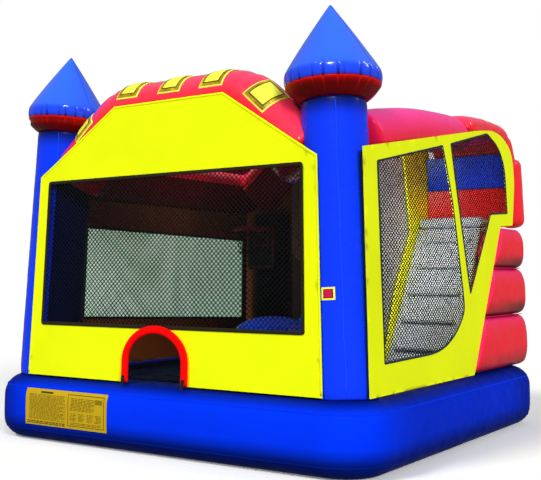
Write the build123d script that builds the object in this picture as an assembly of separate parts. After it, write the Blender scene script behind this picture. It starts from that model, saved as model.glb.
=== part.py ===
from build123d import *
import math
import os

# Inflatable bounce house with an inside climb-and-slide, fed by a blower at the rear.
# Millimetres. The origin is the centre of the base's underside, +X right along the front
# wall, +Y towards the rear, +Z up.

# ---- driving dimensions ----------------------------------------------------------------
BASE_HALF_X = 2250      # half the width of the inflated base
BASE_HALF_Y = 2120      # half its depth
BASE_H = 650            # its height, and the height of the bounce floor
BASE_CORNER = 450       # its corner radius in plan
BASE_BULGE = 205        # rounding of its outer top and bottom edges
RING_W = 450            # width of the base's outer tube
FABRIC = 5              # wall thickness that the air chambers are drawn with
SHEET = 6               # thickness that wall sheets and nets are drawn with
GAP = 2                 # room left between sewn pieces

WALL_X = 2120           # right wall sheet, at the foot
WALL_Y = 1990           # front and rear wall sheets, at the foot
LEFT_WALL_X = -1780     # the left wall sheet hangs on the columns' centre line
LEAN_X = 0.01934e-3     # share of x by which a wall leans in, per mm above the floor
LEAN_Y = 0.01658e-3     # the same for y
TOWER_LEAN = 0.031e-3   # the same for the x of the front towers

TOWER_X, TOWER_Y, TOWER_R = 1800, -1670, 305
TOWER_TOP = 3195        # where the column ends inside its collar
COLLAR_TOP = 3340       # seam between collar and cone
CONE_SHOULDER = 3480    # the cone rises straight to here, then tapers
CROWNS = {"left": (394, 4030), "right": (422, 4080)}    # radius at the seam and height of the tip
TIP_Z = 4080
REAR_COL_X, REAR_COL_Y, REAR_COL_R = -1200, 1680, 230
REAR_COL_TOP = 2520

BEAM_R = 300            # radius of the beams at the top of the walls
GABLE_Z, GABLE_X = 3300, 780       # axis of the front beam's flat top, and its half length
GABLE_END_X, GABLE_END_Z = 1480, 2700
ROOF_Z = 3345           # the flat of the roof cover

PLATFORM_Z = 2220       # top of the climb
PLATFORM_Y = 1450       # its front edge
LANE_IN, LANE_OUT = 1085, 1880     # the climbing lane, between divider and side stack
SLIDE_LEFT, SLIDE_RIGHT = 410, 1010
SLIDE_FOOT_Y = -250
SLIDE_WALL_X = 165       # a yellow sheet closes the slide off from the bounce room

DOOR_X, DOOR_HALF, DOOR_TOP, ARCH_W = -48, 325, 1130, 78
BLOWER_X, BLOWER_Y, BLOWER_Z, DRUM_R, DRUM_W = -1200, 3010, 245, 205, 230

nodes = {}


# ---- helpers -----------------------------------------------------------------------------
def lean(x, y, z):
    """The walls lean in a little as they rise: where a point of the upright layout lies."""
    h = max(z - BASE_H, 0)
    return Vector(x * (1 - LEAN_X * h), y * (1 - LEAN_Y * h), z)


def tower_point(x, y, z):
    """The front towers lean in more than the walls do: a point on a tower's axis."""
    return Vector(x * (1 - TOWER_LEAN * max(z - BASE_H, 0)), lean(x, y, z).Y, z)


def put(name, *shapes):
    """Keeps the solids of a node."""
    solids = [s for shape in shapes for s in shape.solids()]
    nodes[name] = solids[0] if len(solids) == 1 else Compound(children=solids)


def tube(p, q, r0, r1=None, trim=0):
    """A straight round tube or cone from p to q, shortened by trim at both ends."""
    p, q = Vector(*p), Vector(*q)
    d = (q - p).normalized()
    p, q = p + d * trim, q - d * trim
    if r1 is None or abs(r1 - r0) < 0.01:
        return Solid.make_cylinder(r0, (q - p).length, Plane(origin=p, z_dir=d))
    return Solid.make_cone(r0, r1, (q - p).length, Plane(origin=p, z_dir=d))


def chamber(p, q, r0, r1=None):
    """The same as an air chamber: a closed skin around its air."""
    inner = tube(p, q, r0 - FABRIC, (r1 or r0) - FABRIC, trim=FABRIC)
    return tube(p, q, r0, r1) - inner


def wall_sheet(points, thick=SHEET, out=0.0):
    """A flat sheet through leaning corner points, moved along its normal by out."""
    pts = [lean(*p) for p in points]
    n = (pts[1] - pts[0]).cross(pts[2] - pts[1]).normalized()
    face = Face(Wire.make_polygon([p + n * (out - thick / 2) for p in pts], close=True))
    return Solid.extrude(face, n * thick)


def on_front(points, y=-WALL_Y, **kw):
    """A sheet on the front wall from (x, z) corners, its normal outwards."""
    return wall_sheet([(x, y, z) for x, z in points], **kw)


def on_right(points, x=WALL_X, **kw):
    """A sheet on a side wall from (y, z) corners."""
    return wall_sheet([(x, y, z) for y, z in points], **kw)


def prism_x(points, x0, x1):
    """A prism along x from (y, z) corners, upright: used inside, near the floor."""
    low, high = ([lean(x, y, z) for y, z in points] for x in (x0, x1))
    return Solid.make_loft([Wire.make_polygon(low, close=True), Wire.make_polygon(high, close=True)], True)


def shrink(points, by):
    """The corners of a convex outline moved in towards its centre by about by."""
    cy = sum(p[0] for p in points) / len(points)
    cz = sum(p[1] for p in points) / len(points)
    out = []
    for y, z in points:
        d = math.hypot(y - cy, z - cz)
        out.append((y + (cy - y) * by * 1.6 / d, z + (cz - z) * by * 1.6 / d))
    return out


def air_prism(points, x0, x1):
    """A prism along x made as an air chamber."""
    return prism_x(points, x0, x1) - prism_x(shrink(points, FABRIC), x0 + FABRIC, x1 - FABRIC)


def strip(a, b, width, thick, make, out):
    """A flat binding strip between two wall points, as a sheet proud of the wall."""
    (u0, v0), (u1, v1) = a, b
    length = math.hypot(u1 - u0, v1 - v0)
    du, dv = (u1 - u0) / length, (v1 - v0) / length
    nu, nv = -dv * width / 2, du * width / 2
    e = width / 2 + 1.5
    u0, v0, u1, v1 = u0 + du * e, v0 + dv * e, u1 - du * e, v1 - dv * e
    return make([(u0 - nu, v0 - nv), (u1 - nu, v1 - nv), (u1 + nu, v1 + nv), (u0 + nu, v0 + nv)],
                thick=thick, out=out)


def binding(points, make, width=30, thick=8, out=8.0):
    """Binding strips round a window, one per edge."""
    ring = points + points[:1]
    return [strip(a, b, width, thick, make, out) for a, b in zip(ring, ring[1:])]


# ---- base: outer tube, bounce floor and its baffles ----------------------------------------
def base_block(inset):
    """The whole base as one rounded block, drawn in by inset on every side."""
    flat = RectangleRounded(2 * (BASE_HALF_X - inset), 2 * (BASE_HALF_Y - inset), BASE_CORNER - inset)
    block = Solid.extrude(flat.face(), Vector(0, 0, BASE_H - 2 * inset)).moved(Location((0, 0, inset)))
    rims = [e for e in block.edges() if abs(e.center().Z - BASE_H / 2) > BASE_H / 2 - inset - 1]
    return block.fillet(BASE_BULGE - inset, rims)


INNER_X, INNER_Y = BASE_HALF_X - RING_W, BASE_HALF_Y - RING_W


def ring_part(turn, inset):
    """One of the four mitred parts of the base's tube: 0 front, 1 right, 2 rear, 3 left."""
    g = 1 + inset
    far = 3000
    if turn in (0, 2):
        s = -1 if turn == 0 else 1
        # the mitre runs from the floor's corner out through the base's corner
        k = far
        pts = [(-INNER_X + g, s * (INNER_Y + inset)), (INNER_X - g, s * (INNER_Y + inset)),
               (INNER_X + k - g * 2, s * (INNER_Y + k)), (-INNER_X - k + g * 2, s * (INNER_Y + k))]
    else:
        s = 1 if turn == 1 else -1
        k = far
        pts = [(s * (INNER_X + inset), -INNER_Y + g), (s * (INNER_X + inset), INNER_Y - g),
               (s * (INNER_X + k), INNER_Y + k - g * 2), (s * (INNER_X + k), -INNER_Y - k + g * 2)]
    wedge = Solid.extrude(Face(Wire.make_polygon([Vector(x, y, -10) for x, y in pts], close=True)),
                          Vector(0, 0, BASE_H + 20))
    return base_block(inset) & wedge


outer_parts = [ring_part(i, 0) for i in range(4)]
inner_parts = [ring_part(i, FABRIC) for i in range(4)]
put("base_ring", *[a - b for a, b in zip(outer_parts, inner_parts)])

fx, fy = INNER_X - GAP, INNER_Y - GAP
floor = Solid.make_box(2 * fx, 2 * fy, BASE_H, Plane((-fx, -fy, 0)))
air = Solid.make_box(2 * (fx - FABRIC), 2 * (fy - FABRIC), BASE_H - 2 * FABRIC,
                     Plane((-fx + FABRIC, -fy + FABRIC, FABRIC)))
put("bounce_floor", floor - air)
BAFFLES = 7
put("floor_baffles", *[
    Solid.make_box(2, 2 * (fy - 3 * FABRIC), BASE_H - 2 * FABRIC - 6,
                   Plane((-fx + 2 * fx * (i + 1) / (BAFFLES + 1) - 1, -fy + 3 * FABRIC, FABRIC + 3)))
    for i in range(BAFFLES)])


# ---- towers ----------------------------------------------------------------------------------
def shrink_r(r, z):
    return r * (1 - LEAN_X * max(z - BASE_H, 0))


def turned(profile, x, y, at=lean):
    """A turned piece on a leaning axis, from (radius, height above the floor) pairs."""
    foot, top = at(x, y, BASE_H), at(x, y, TIP_Z)
    face = Face(Wire.make_polygon([Vector(r, 0, z) for r, z in profile], close=True))
    solid = Solid.revolve(face, 360, Axis.Z)
    axis = (top - foot).normalized()
    return solid.moved(Plane(origin=foot, z_dir=axis, x_dir=(1, 0, 0)).location)


def above_floor(shape, inset=0):
    """The part of a leaning piece that stands above the floor."""
    return shape - Solid.make_box(6000, 6000, 400, Plane((-3000, -3000, BASE_H - 400 + inset)))


def column_body(x, y, r, top, t, at=lean):
    """A column's outline drawn in by t, its foot cut level with the floor."""
    h = top - BASE_H - t
    r1 = shrink_r(r, top)
    return above_floor(turned([(0, -30), (r - t, -30), (r1 - t, h), (0, h)], x, y, at), t)


def column(x, y, r, top, at=lean):
    """An upright air chamber on the floor."""
    return column_body(x, y, r, top, 0, at) - column_body(x, y, r, top, FABRIC, at)


collars, cones = [], []
for side, sx in (("left", -1), ("right", 1)):
    x, y = sx * TOWER_X, TOWER_Y
    put(f"tower_front_{side}", column(x, y, TOWER_R, TOWER_TOP, tower_point))
    crown_r, tip = CROWNS[side]
    z0, z1, z2, z3 = (v - BASE_H for v in (TOWER_TOP + GAP, COLLAR_TOP, CONE_SHOULDER, tip))
    r0 = shrink_r(TOWER_R, TOWER_TOP) + 6
    f = FABRIC
    collars.append(
        turned([(0, z0), (r0, z0), (crown_r, z1), (0, z1)], x, y, tower_point)
        - turned([(0, z0 + f), (r0 - f, z0 + f), (crown_r - 2 * f, z1 - f), (0, z1 - f)], x, y, tower_point))
    cones.append(
        turned([(0, z1 + GAP), (crown_r, z1 + GAP), (crown_r - 14, z2), (7, z3), (0, z3)], x, y, tower_point)
        - turned([(0, z1 + GAP + f), (crown_r - f, z1 + GAP + f), (crown_r - 14 - f, z2 - 3),
                  (4, z3 - 40), (0, z3 - 40)], x, y, tower_point))
put("turret_collars", *collars)
put("turret_cones", *cones)


def biggest(shape):
    return sorted(shape.solids(), key=lambda s: s.volume)[-1]


# ---- beams along the wall tops ----------------------------------------------------------------
FRONT_Y = -1670
flat_l, flat_r = lean(-GABLE_X, FRONT_Y, GABLE_Z), lean(GABLE_X, FRONT_Y, GABLE_Z)
end_l, end_r = lean(-GABLE_END_X, FRONT_Y, GABLE_END_Z), lean(GABLE_END_X, FRONT_Y, GABLE_END_Z)


def mitred(p, q, r, at_p=None, at_q=None):
    """A chamber cut by mitre planes; at_p and at_q are the far points of its neighbours."""
    p, q = Vector(*p), Vector(*q)
    d = (q - p).normalized()

    def block(rr, t):
        a = p - d * (r if at_p else -t)
        b = q + d * (r if at_q else -t)
        body = Solid.make_cylinder(rr, (b - a).length, Plane(origin=a, z_dir=d))
        for corner, far_end, away in ((p, at_p, d), (q, at_q, d * -1)):
            if far_end:
                e = (Vector(*far_end) - corner).normalized()
                n = (away - e).normalized()      # points from the mitre into this chamber
                side = n.cross(Vector(0, 1, 0)).normalized()
                big = 6000
                foot = corner + n * (t + 1.5) - side * (big / 2) - n.cross(side) * (big / 2)
                body = body & Solid.make_box(big, big, big, Plane(origin=foot, z_dir=n, x_dir=side))
        return biggest(body)
    return block(r, 0) - block(r - FABRIC, FABRIC)


def clear_of(shape, *cutters):
    for c in cutters:
        shape = shape - c
    return shape


def around_tower(sx, grow=4):
    """A tower's space with a little room round it, for trimming what butts against it."""
    x, y = sx * TOWER_X, TOWER_Y
    return tube(tower_point(x, y, BASE_H), tower_point(x, y, TOWER_TOP + 100), TOWER_R + grow,
                shrink_r(TOWER_R, TOWER_TOP) + grow)


beam_top = mitred(flat_l, flat_r, BEAM_R, at_p=end_l, at_q=end_r)
beam_sl = biggest(clear_of(mitred(end_l, flat_l, BEAM_R, at_q=flat_r), around_tower(-1)))
beam_sr = biggest(clear_of(mitred(flat_r, end_r, BEAM_R, at_p=flat_l), around_tower(1)))
put("front_beam", beam_top, beam_sl, beam_sr)

SIDE_X = 1800
LEFT_BEAM_Z = 2820
REAR_Y, REAR_Z = 1670, 3210
left_front, left_rear = lean(-SIDE_X, -1340, LEFT_BEAM_Z), lean(-SIDE_X, 1960, LEFT_BEAM_Z)
put("left_beam", biggest(clear_of(chamber(left_front, left_rear, BEAM_R), around_tower(-1))))
put("right_beam", biggest(clear_of(chamber(lean(SIDE_X, -1340, 2860), lean(SIDE_X, 745, 3105), BEAM_R),
                                   around_tower(1))))
rear_low, rear_bend = lean(-1480, REAR_Y, 2740), lean(-850, REAR_Y, REAR_Z)
rear_end = lean(1020, REAR_Y, REAR_Z)
rear_slope = biggest(mitred(rear_low, rear_bend, BEAM_R, at_q=rear_end) - tube(left_front, left_rear, BEAM_R + 4, trim=-50))
put("rear_beam", rear_slope, mitred(rear_bend, rear_end, BEAM_R, at_p=rear_low))


def rear_column(t):
    """The rear column's outline drawn in by t, its head cut to the round of the slope above."""
    above = tube(rear_low, rear_bend, BEAM_R + 3 + t, trim=-400)
    return biggest(column_body(REAR_COL_X, REAR_COL_Y, REAR_COL_R, REAR_COL_TOP, t) - above)


put("column_rear", rear_column(0) - rear_column(FABRIC))

# ---- roof cover: slopes and flat between the beams -----------------------------------------------
roof_y0, roof_y1 = -1350, 1370
slope_in = (GABLE_X + 60, ROOF_Z)
roof = [wall_sheet([(-slope_in[0], roof_y0, ROOF_Z), (slope_in[0], roof_y0, ROOF_Z),
                    (slope_in[0], roof_y1, ROOF_Z), (-slope_in[0], roof_y1, ROOF_Z)])]
roof += [wall_sheet([(s * (slope_in[0] + 5), roof_y0, ROOF_Z - 3), (s * 1465, roof_y0, 2990),
                     (s * 1465, y1, 2990), (s * (slope_in[0] + 5), y1, ROOF_Z - 3)])
         for s, y1 in ((-1, roof_y1), (1, 500))]
roof.append(wall_sheet([(slope_in[0] + 5, 506, ROOF_Z - 3), (1078, 506, ROOF_Z - 12),
                        (1078, roof_y1, ROOF_Z - 12), (slope_in[0] + 5, roof_y1, ROOF_Z - 3)]))
put("roof_cover", *roof)

# ---- front wall: sheet, net window, door arch -------------------------------------------------------
WIN_L, WIN_R, WIN_LOW, WIN_TOP = -1600, 1590, 1190, 2630
arch_out = DOOR_HALF + ARCH_W
sill = WIN_LOW
low = BASE_H + 12
door_l, door_r = DOOR_X - arch_out + 8, DOOR_X + arch_out - 8
upper = on_front([(-1770, sill + 1), (1770, sill + 1), (1750, 2700), (705, 3345), (-705, 3345), (-1750, 2700)])
opening = on_front([(WIN_L, sill - 40), (WIN_R, sill - 40), (WIN_R, WIN_TOP), (WIN_L, WIN_TOP)], thick=40)
upper = upper - opening
left_sill = on_front([(-1770, low), (door_l, low), (door_l, sill), (-1770, sill)])
right_sill = on_front([(door_r, low), (1770, low), (1770, sill), (door_r, sill)])
corner_l = on_front([(door_l + 1, 985), (door_l + 180, sill), (door_l + 1, sill)])
corner_r = on_front([(door_r - 1, 985), (door_r - 1, sill), (door_r - 180, sill)])
put("front_wall_panel", upper, left_sill, right_sill, corner_l, corner_r)
put("front_window_net", on_front([(WIN_L + GAP, sill + GAP), (WIN_R - GAP, sill + GAP),
                                  (WIN_R - GAP, WIN_TOP - GAP), (WIN_L + GAP, WIN_TOP - GAP)]))

# the arch is a padded band in straight runs: two legs and a polygonal crown
crown_r = 185
steps = 4
mid = []
cx0, cx1, cz = DOOR_X - DOOR_HALF + crown_r, DOOR_X + DOOR_HALF - crown_r, DOOR_TOP - crown_r
inner_line = [(DOOR_X - DOOR_HALF, low)]
inner_line += [(cx0 - crown_r * math.cos(a), cz + crown_r * math.sin(a))
               for a in (i * math.pi / 2 / steps for i in range(steps + 1))]
inner_line += [(cx1 + crown_r * math.sin(a), cz + crown_r * math.cos(a))
               for a in (i * math.pi / 2 / steps for i in range(steps + 1))]
inner_line += [(DOOR_X + DOOR_HALF, low)]
big = crown_r + ARCH_W
outer_line = [(DOOR_X - DOOR_HALF - ARCH_W, low)]
outer_line += [(cx0 - big * math.cos(a), cz + big * math.sin(a))
               for a in (i * math.pi / 2 / steps for i in range(steps + 1))]
outer_line += [(cx1 + big * math.sin(a), cz + big * math.cos(a))
               for a in (i * math.pi / 2 / steps for i in range(steps + 1))]
outer_line += [(DOOR_X + DOOR_HALF + ARCH_W, low)]
arch = []
for i in range(len(inner_line) - 1):
    a, b, c, d = inner_line[i], inner_line[i + 1], outer_line[i + 1], outer_line[i]
    arch.append(on_front([a, b, c, d][::-1], thick=24, out=-26.0))
put("door_arch", *arch)
door_tabs = [on_front([(x - 17, low + 2), (x + 17, low + 2), (x + 17, low + 62), (x - 17, low + 62)],
                      thick=4, out=41.0) for x in (DOOR_X - DOOR_HALF - 40, DOOR_X + DOOR_HALF + 40)]

# ---- right wall: sheet with two net windows -----------------------------------------------------------
right_outline = [(-1820, low), (450, low), (1447, 2224), (1855, 2253), (2016, 2767), (1988, 3092),
                 (1744, 3239), (1420, 3290), (1100, 3257), (820, 3217), (-1835, 2760)]
right_front_win = [(-1541, 931), (-383, 951), (-4, 1092), (224, 1280), (263, 1379), (79, 2430),
                   (-115, 2952), (-1571, 2659)]
right_rear_win = [(439, 1497), (1142, 2347), (1679, 2387), (1684, 2901), (1521, 3112), (1171, 3228),
                  (109, 2997)]


def net_in(points, make, by=GAP):
    """The net's sheet in a window, a little smaller than the window."""
    return make(shrink(points, by))


put("right_wall_panel", on_right(right_outline) - on_right(right_front_win, thick=40)
    - on_right(right_rear_win, thick=40))
put("right_window_nets", net_in(right_front_win, on_right), net_in(right_rear_win, on_right, by=8))


# ---- left and rear walls ----------------------------------------------------------------------------------
def on_left(points, **kw):
    return on_right(points, x=LEFT_WALL_X, **kw)


def on_rear(points, **kw):
    return on_front(points, y=WALL_Y, **kw)


left_win = [(-1240, 1210), (1800, 1100), (1800, 2160), (-1240, 2215)]
left_sheet = on_left([(-1340, low), (1900, low), (1900, 2500), (-1340, 2500)]) - on_left(left_win, thick=40)
put("left_wall_panel", left_sheet)
put("left_window_net", net_in(left_win, on_left))
rear_win = [(-780, 1200), (700, 1200), (700, 2500), (-780, 2500)]
rear_outline = [(-1900, low), (990, low), (990, 3230), (-790, 3230), (-1700, 2630), (-1900, 2500)]
rear_sheet = on_rear(rear_outline) - on_rear(rear_win, thick=40)
put("rear_wall_panel", rear_sheet)
put("rear_window_net", net_in(rear_win, on_rear))

put("window_bindings",
    *binding([(WIN_L, sill), (WIN_R, sill), (WIN_R, WIN_TOP), (WIN_L, WIN_TOP)], on_front),
    *binding(right_front_win, on_right, width=22, thick=6, out=8.0),
    *binding(right_rear_win, on_right, width=22, thick=6, out=8.0),
    *binding(left_win, on_left, width=26, thick=6, out=-8.0),
    *binding(rear_win, on_rear, width=26, thick=6, out=-8.0))

# ---- side stack: three tubes beside the climb, their front ends on the climb's slope -----------------------
STACK_X0, STACK_X1 = 1895, 2160
stack_levels = [BASE_H + 4, 1235, 1760, 2216]
stack_foot, stack_head = 480, 1450      # y of the front edge at the foot and at the top
stack_rear = 2090


def stack_section(z0, z1, inset, rear):
    """One end of a stack tube: eight corners in a plane, on the slope or at the rear."""
    side = 70
    x0, x1, z0, z1 = STACK_X0 + inset, STACK_X1 - inset, z0 + inset, z1 - inset
    pts = [(x0 + side, z0), (x1 - side, z0), (x1, z0 + side), (x1, z1 - side),
           (x1 - side, z1), (x0 + side, z1), (x0, z1 - side), (x0, z0 + side)]
    out = []
    for x, z in pts:
        t = (z - BASE_H) / (PLATFORM_Z - BASE_H)
        y = stack_rear - inset if rear else stack_foot + 3 * inset + (stack_head - stack_foot) * t
        out.append(Vector(lean(x, 0, z).X, y, z))
    return Wire.make_polygon(out, close=True)


def stack_tube(z0, z1, inset):
    ends = [stack_section(z0, z1, inset, rear) for rear in (False, True)]
    return Solid.make_loft(ends, True)


stack = [stack_tube(a + 2, b - 2, 0) - stack_tube(a + 2, b - 2, FABRIC)
         for a, b in zip(stack_levels, stack_levels[1:])]
put("side_stack", *stack)

# ---- climb, platform, divider and slide ----------------------------------------------------------------------
climb = [(450, BASE_H + 4), (PLATFORM_Y - 4, BASE_H + 4), (PLATFORM_Y - 4, PLATFORM_Z - 6)]
put("climb_ramp", air_prism(climb, LANE_IN, LANE_OUT))
RUNGS, RUNG_R = 5, 29
foot, head = lean(0, *climb[0]), lean(0, *climb[2])
up_slope = (head - foot).normalized()
off_slope = Vector(0, -up_slope.Z, up_slope.Y) * (RUNG_R + 2)
rungs = []
for i in range(RUNGS):
    c = foot + (head - foot) * ((i + 0.75) / (RUNGS + 0.25)) + off_slope
    x0, x1 = lean(LANE_IN + 90, 0, c.Z).X, lean(LANE_OUT - 90, 0, c.Z).X
    rungs.append(tube((x0, c.Y, c.Z), (x1, c.Y, c.Z), RUNG_R))
put("climb_rungs", *rungs)

deck = [(PLATFORM_Y, BASE_H + 4), (1900, BASE_H + 4), (1900, PLATFORM_Z), (PLATFORM_Y, PLATFORM_Z)]
# a raised mat lies on the lane's deck
mat = [(PLATFORM_Y + 12, PLATFORM_Z + 8), (1742, PLATFORM_Z + 8), (1742, 2345), (PLATFORM_Y + 12, 2345)]
put("platform", air_prism(deck, LANE_IN, LANE_OUT), air_prism(deck, SLIDE_LEFT, SLIDE_RIGHT),
    air_prism(mat, LANE_IN, LANE_OUT))

slide = [(SLIDE_FOOT_Y, BASE_H + 4), (PLATFORM_Y - 4, BASE_H + 4), (PLATFORM_Y - 4, PLATFORM_Z - 90),
         (SLIDE_FOOT_Y, BASE_H + 84)]
put("slide_bed", air_prism(slide, SLIDE_LEFT, SLIDE_RIGHT))
BOLSTER_R = 108
bolster_x = SLIDE_LEFT - BOLSTER_R - 6
put("slide_bolster", chamber(lean(bolster_x, SLIDE_FOOT_Y - 60, 790), lean(bolster_x, 1850, 2400), BOLSTER_R))
put("slide_wall", on_right([(60, low), (1900, low), (1900, 2880), (60, 2880)], x=SLIDE_WALL_X, thick=10))

# a domed pop-up pillar stands on the bounce floor in front of the slide
POP_X, POP_Y, POP_R, POP_TOP = 640, -1050, 385, 1280
dome = 190


def pillar(t):
    h = POP_TOP - BASE_H - t
    line = [(0, t), (POP_R - t, t), (POP_R - t, h - dome)]
    line += [((POP_R - t) * math.cos(math.radians(a)), h - dome + dome * math.sin(math.radians(a)))
             for a in (18, 36, 54, 72)]
    return turned(line + [(0, h)], POP_X, POP_Y)


put("popup_pillar", above_floor(pillar(0) - pillar(FABRIC), inset=1))

# the divider stands between slide and climb: a pale sheet with a yellow inflated edge
DIV_X, DIV_W = 1048, 32
divider_line = [(160, low), (160, 3200), (515, 3200), (515, 3290), (1170, 3290), (1330, 2180), (890, 1530),
                (520, low)]
put("divider_panel", on_right(divider_line[::-1], x=DIV_X - 16, thick=10))


def divider_prism(points):
    return prism_x(points, DIV_X, DIV_X + DIV_W)


put("divider_frame", divider_prism([(470, low), (640, low), (1640, 2212), (1290, 2180), (840, 1530)]),
    divider_prism([(1298, 2184), (1640, 2216), (1880, 2390), (1870, 3290), (1120, 3290)]))

# ---- hood over the platform and the rear bands: tubes lying across the lane ------------------------------------
HOOD_X0, HOOD_X1, HOOD_R = LANE_IN + 5, 2110, 145


def cross_tube(y, z, r=HOOD_R):
    return chamber(lean(HOOD_X0, y, z), lean(HOOD_X1, y, z), r)


def band(z0, z1):
    """A flat pillow that closes the lane behind the platform."""
    y0, y1 = 1752, 1868
    return air_prism([(y0, z0), (y1, z0), (y1, z1), (y0, z1)], HOOD_X0, HOOD_X1)


# two posts behind the bands carry the hood's rear end
put("platform_bands", band(2234, 2682), band(2690, 3074),
    *[chamber(lean(x, y, 2242), lean(x, y, 2890), 138) for x, y in ((1240, 2022), (2005, 2190))])
put("hood", *[cross_tube(y, z) for y, z in
              ((2078, 3056), (1868, 3288), (1530, 3300), (1215, 3296), (905, 3270))])

# ---- gold bricks on the front beam -------------------------------------------------------------------------------
def brick(centre, along, width=300, angle0=8, angle1=84):
    """A thin curved plate wrapped over the front upper quarter of the beam."""
    c, d = Vector(*centre), Vector(*along).normalized()
    r0, r1 = BEAM_R + 2, BEAM_R + 20
    ring = tube(c - d * (width / 2), c + d * (width / 2), r1) - tube(c - d * width, c + d * width, r0)
    up = Vector(0, -1, 0)
    side = d.cross(up).normalized()      # along the circle from the front towards the top
    if side.Z < 0:
        side = side * -1
    pts = [c - d * width]
    for i in range(6):
        a = math.radians(angle0 + (angle1 - angle0) * i / 5)
        pts.append(c - d * width + (up * math.cos(a) + side * math.sin(a)) * 2 * BEAM_R)
    wedge = Solid.extrude(Face(Wire.make_polygon(pts, close=True)), d * (2 * width))
    return biggest(ring & wedge)


bricks = []
for x in (-560, 0, 530):
    bricks.append(brick(lean(x, FRONT_Y, GABLE_Z), (1, 0, 0), width=275, angle0=22, angle1=88))
for a, b, t in ((flat_l, end_l, 0.42), (flat_r, end_r, 0.27)):
    c = a + (b - a) * t
    along = (b - a) if b.X > a.X else (a - b)
    bricks.append(brick(c, along, width=300, angle0=18, angle1=84))
put("gold_bricks", *bricks)

# ---- printed panels: rules on the base, a small label on the right tower ------------------------------------------------
face_y = -BASE_HALF_Y - 3
tag = tower_point(1848, TOWER_Y - TOWER_R - 5, 1516)
put("printed_labels", Solid.make_box(1120, 3, 360, Plane((-1645, face_y, 180))),
    Solid.make_box(124, 2, 108, Plane((tag.X - 62, tag.Y - 6, 1462))))

# ---- hoop on the rear column ------------------------------------------------------------------------------------------
col = lean(REAR_COL_X, REAR_COL_Y, 2100)
hoop_y = col.Y - REAR_COL_R - 30
put("hoop_board", Solid.make_box(430, 16, 560, Plane((col.X - 215, hoop_y, 1760))))
ring_c = Vector(col.X, hoop_y - 245, 2270)
net_outer = Solid.make_cone(138, 178, 250, Plane((ring_c.X, ring_c.Y, 1990)))
net_inner = Solid.make_cone(135, 175, 252, Plane((ring_c.X, ring_c.Y, 1989)))
put("hoop", Solid.make_torus(210, 26, Plane(ring_c)),
    Solid.make_box(70, 14, 90, Plane((ring_c.X - 35, ring_c.Y + 229, 2225))),
    net_outer - net_inner, Solid.make_torus(140, 12, Plane((ring_c.X, ring_c.Y, 1974))))

# ---- anchor loops and D-rings on the rear and left of the base ------------------------------------------------------------
ANCHOR_Z = 300
D_W, D_H, D_WIRE = 62, 58, 4
anchors = {"d_ring_rear_left": ("rear", -1750), "d_ring_rear_right": ("rear", 1500),
           "d_ring_left_front": ("left", -1350), "d_ring_left_rear": ("left", 1450)}


def placed(shape, wall, along):
    """From a local frame (x along the wall, -y outwards) onto the rear or the left face."""
    if wall == "rear":
        return shape.moved(Location((along, BASE_HALF_Y, 0), (0, 0, 180)))
    return shape.moved(Location((-BASE_HALF_X, along, 0), (0, 0, -90)))


def d_ring():
    """A D of round wire that hangs from its straight side."""
    r = D_WIRE
    y = -14
    bar = tube((-D_W / 2, y, ANCHOR_Z), (D_W / 2, y, ANCHOR_Z), r)
    ends = [tube((s * D_W / 2, y, ANCHOR_Z), (s * D_W / 2, y, ANCHOR_Z - 24), r) for s in (-1, 1)]
    pts = [Vector(D_W / 2 * math.cos(math.radians(a)), y, ANCHOR_Z - 24 - D_W / 2 * math.sin(math.radians(a)))
           for a in range(0, 181, 30)]
    bow = [tube(a, b, r) for a, b in zip(pts, pts[1:])]
    balls = [Solid.make_sphere(r, Plane(p), angle1=-90, angle2=90) for p in
             pts + [Vector(s * D_W / 2, y, ANCHOR_Z) for s in (-1, 1)]]
    whole = bar
    for piece in ends + bow + balls:
        whole = whole + piece
    return biggest(whole)


def anchor_loop():
    """A patch sewn to the base and a webbing loop round the ring's bar, with running room."""
    patch = Solid.make_box(170, 3, 130, Plane((-85, -3.5, ANCHOR_Z - 15)))
    bore = D_WIRE + 0.6
    sleeve = tube((-21, -14, ANCHOR_Z), (21, -14, ANCHOR_Z), bore + 3)
    tail = Solid.make_box(42, 7, 80, Plane((-21, -14, ANCHOR_Z)))
    tail = tail + Solid.make_box(42, 10.5, 40, Plane((-21, -14, ANCHOR_Z + 40)))
    hole = tube((-30, -14, ANCHOR_Z), (30, -14, ANCHOR_Z), bore)
    return biggest((patch + sleeve + tail) - hole)


put("webbing_loops", *[placed(anchor_loop(), *where) for where in anchors.values()], *door_tabs)
for name, where in anchors.items():
    put(name, placed(d_ring(), *where))

# ---- deflation zipper on the left of the base ---------------------------------------------------------------------------------
ZIP_Y, ZIP_LEN, ZIP_Z = 100, 700, 325
tape = Solid.make_box(ZIP_LEN, 3, 50, Plane((-ZIP_LEN / 2, -4, ZIP_Z - 25)))
teeth = Solid.make_box(ZIP_LEN - 30, 3, 9, Plane((-ZIP_LEN / 2 + 15, -7, ZIP_Z - 4.5)))
slider = Solid.make_box(26, 5, 20, Plane((-ZIP_LEN / 2 + 22, -12.6, ZIP_Z - 10)))
pull = Solid.make_box(12, 2, 46, Plane((-ZIP_LEN / 2 + 29, -14.4, ZIP_Z - 50)))
put("zipper_slider", placed((slider + pull).solids()[0], "left", ZIP_Y))
flap = Solid.make_box(ZIP_LEN + 60, 2, 112, Plane((-ZIP_LEN / 2 - 30, -20, ZIP_Z - 62)))
hem = tube((-ZIP_LEN / 2 - 30, -19, ZIP_Z + 55), (ZIP_LEN / 2 + 30, -19, ZIP_Z + 55), 5)
put("zipper_flap", placed(biggest(flap + hem), "left", ZIP_Y))
keeper = Solid.make_box(ZIP_LEN + 60, 7, 14, Plane((-ZIP_LEN / 2 - 30, -11, ZIP_Z + 48)))
put("zipper_tape", placed(tape + teeth, "left", ZIP_Y), placed(keeper, "left", ZIP_Y))

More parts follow.
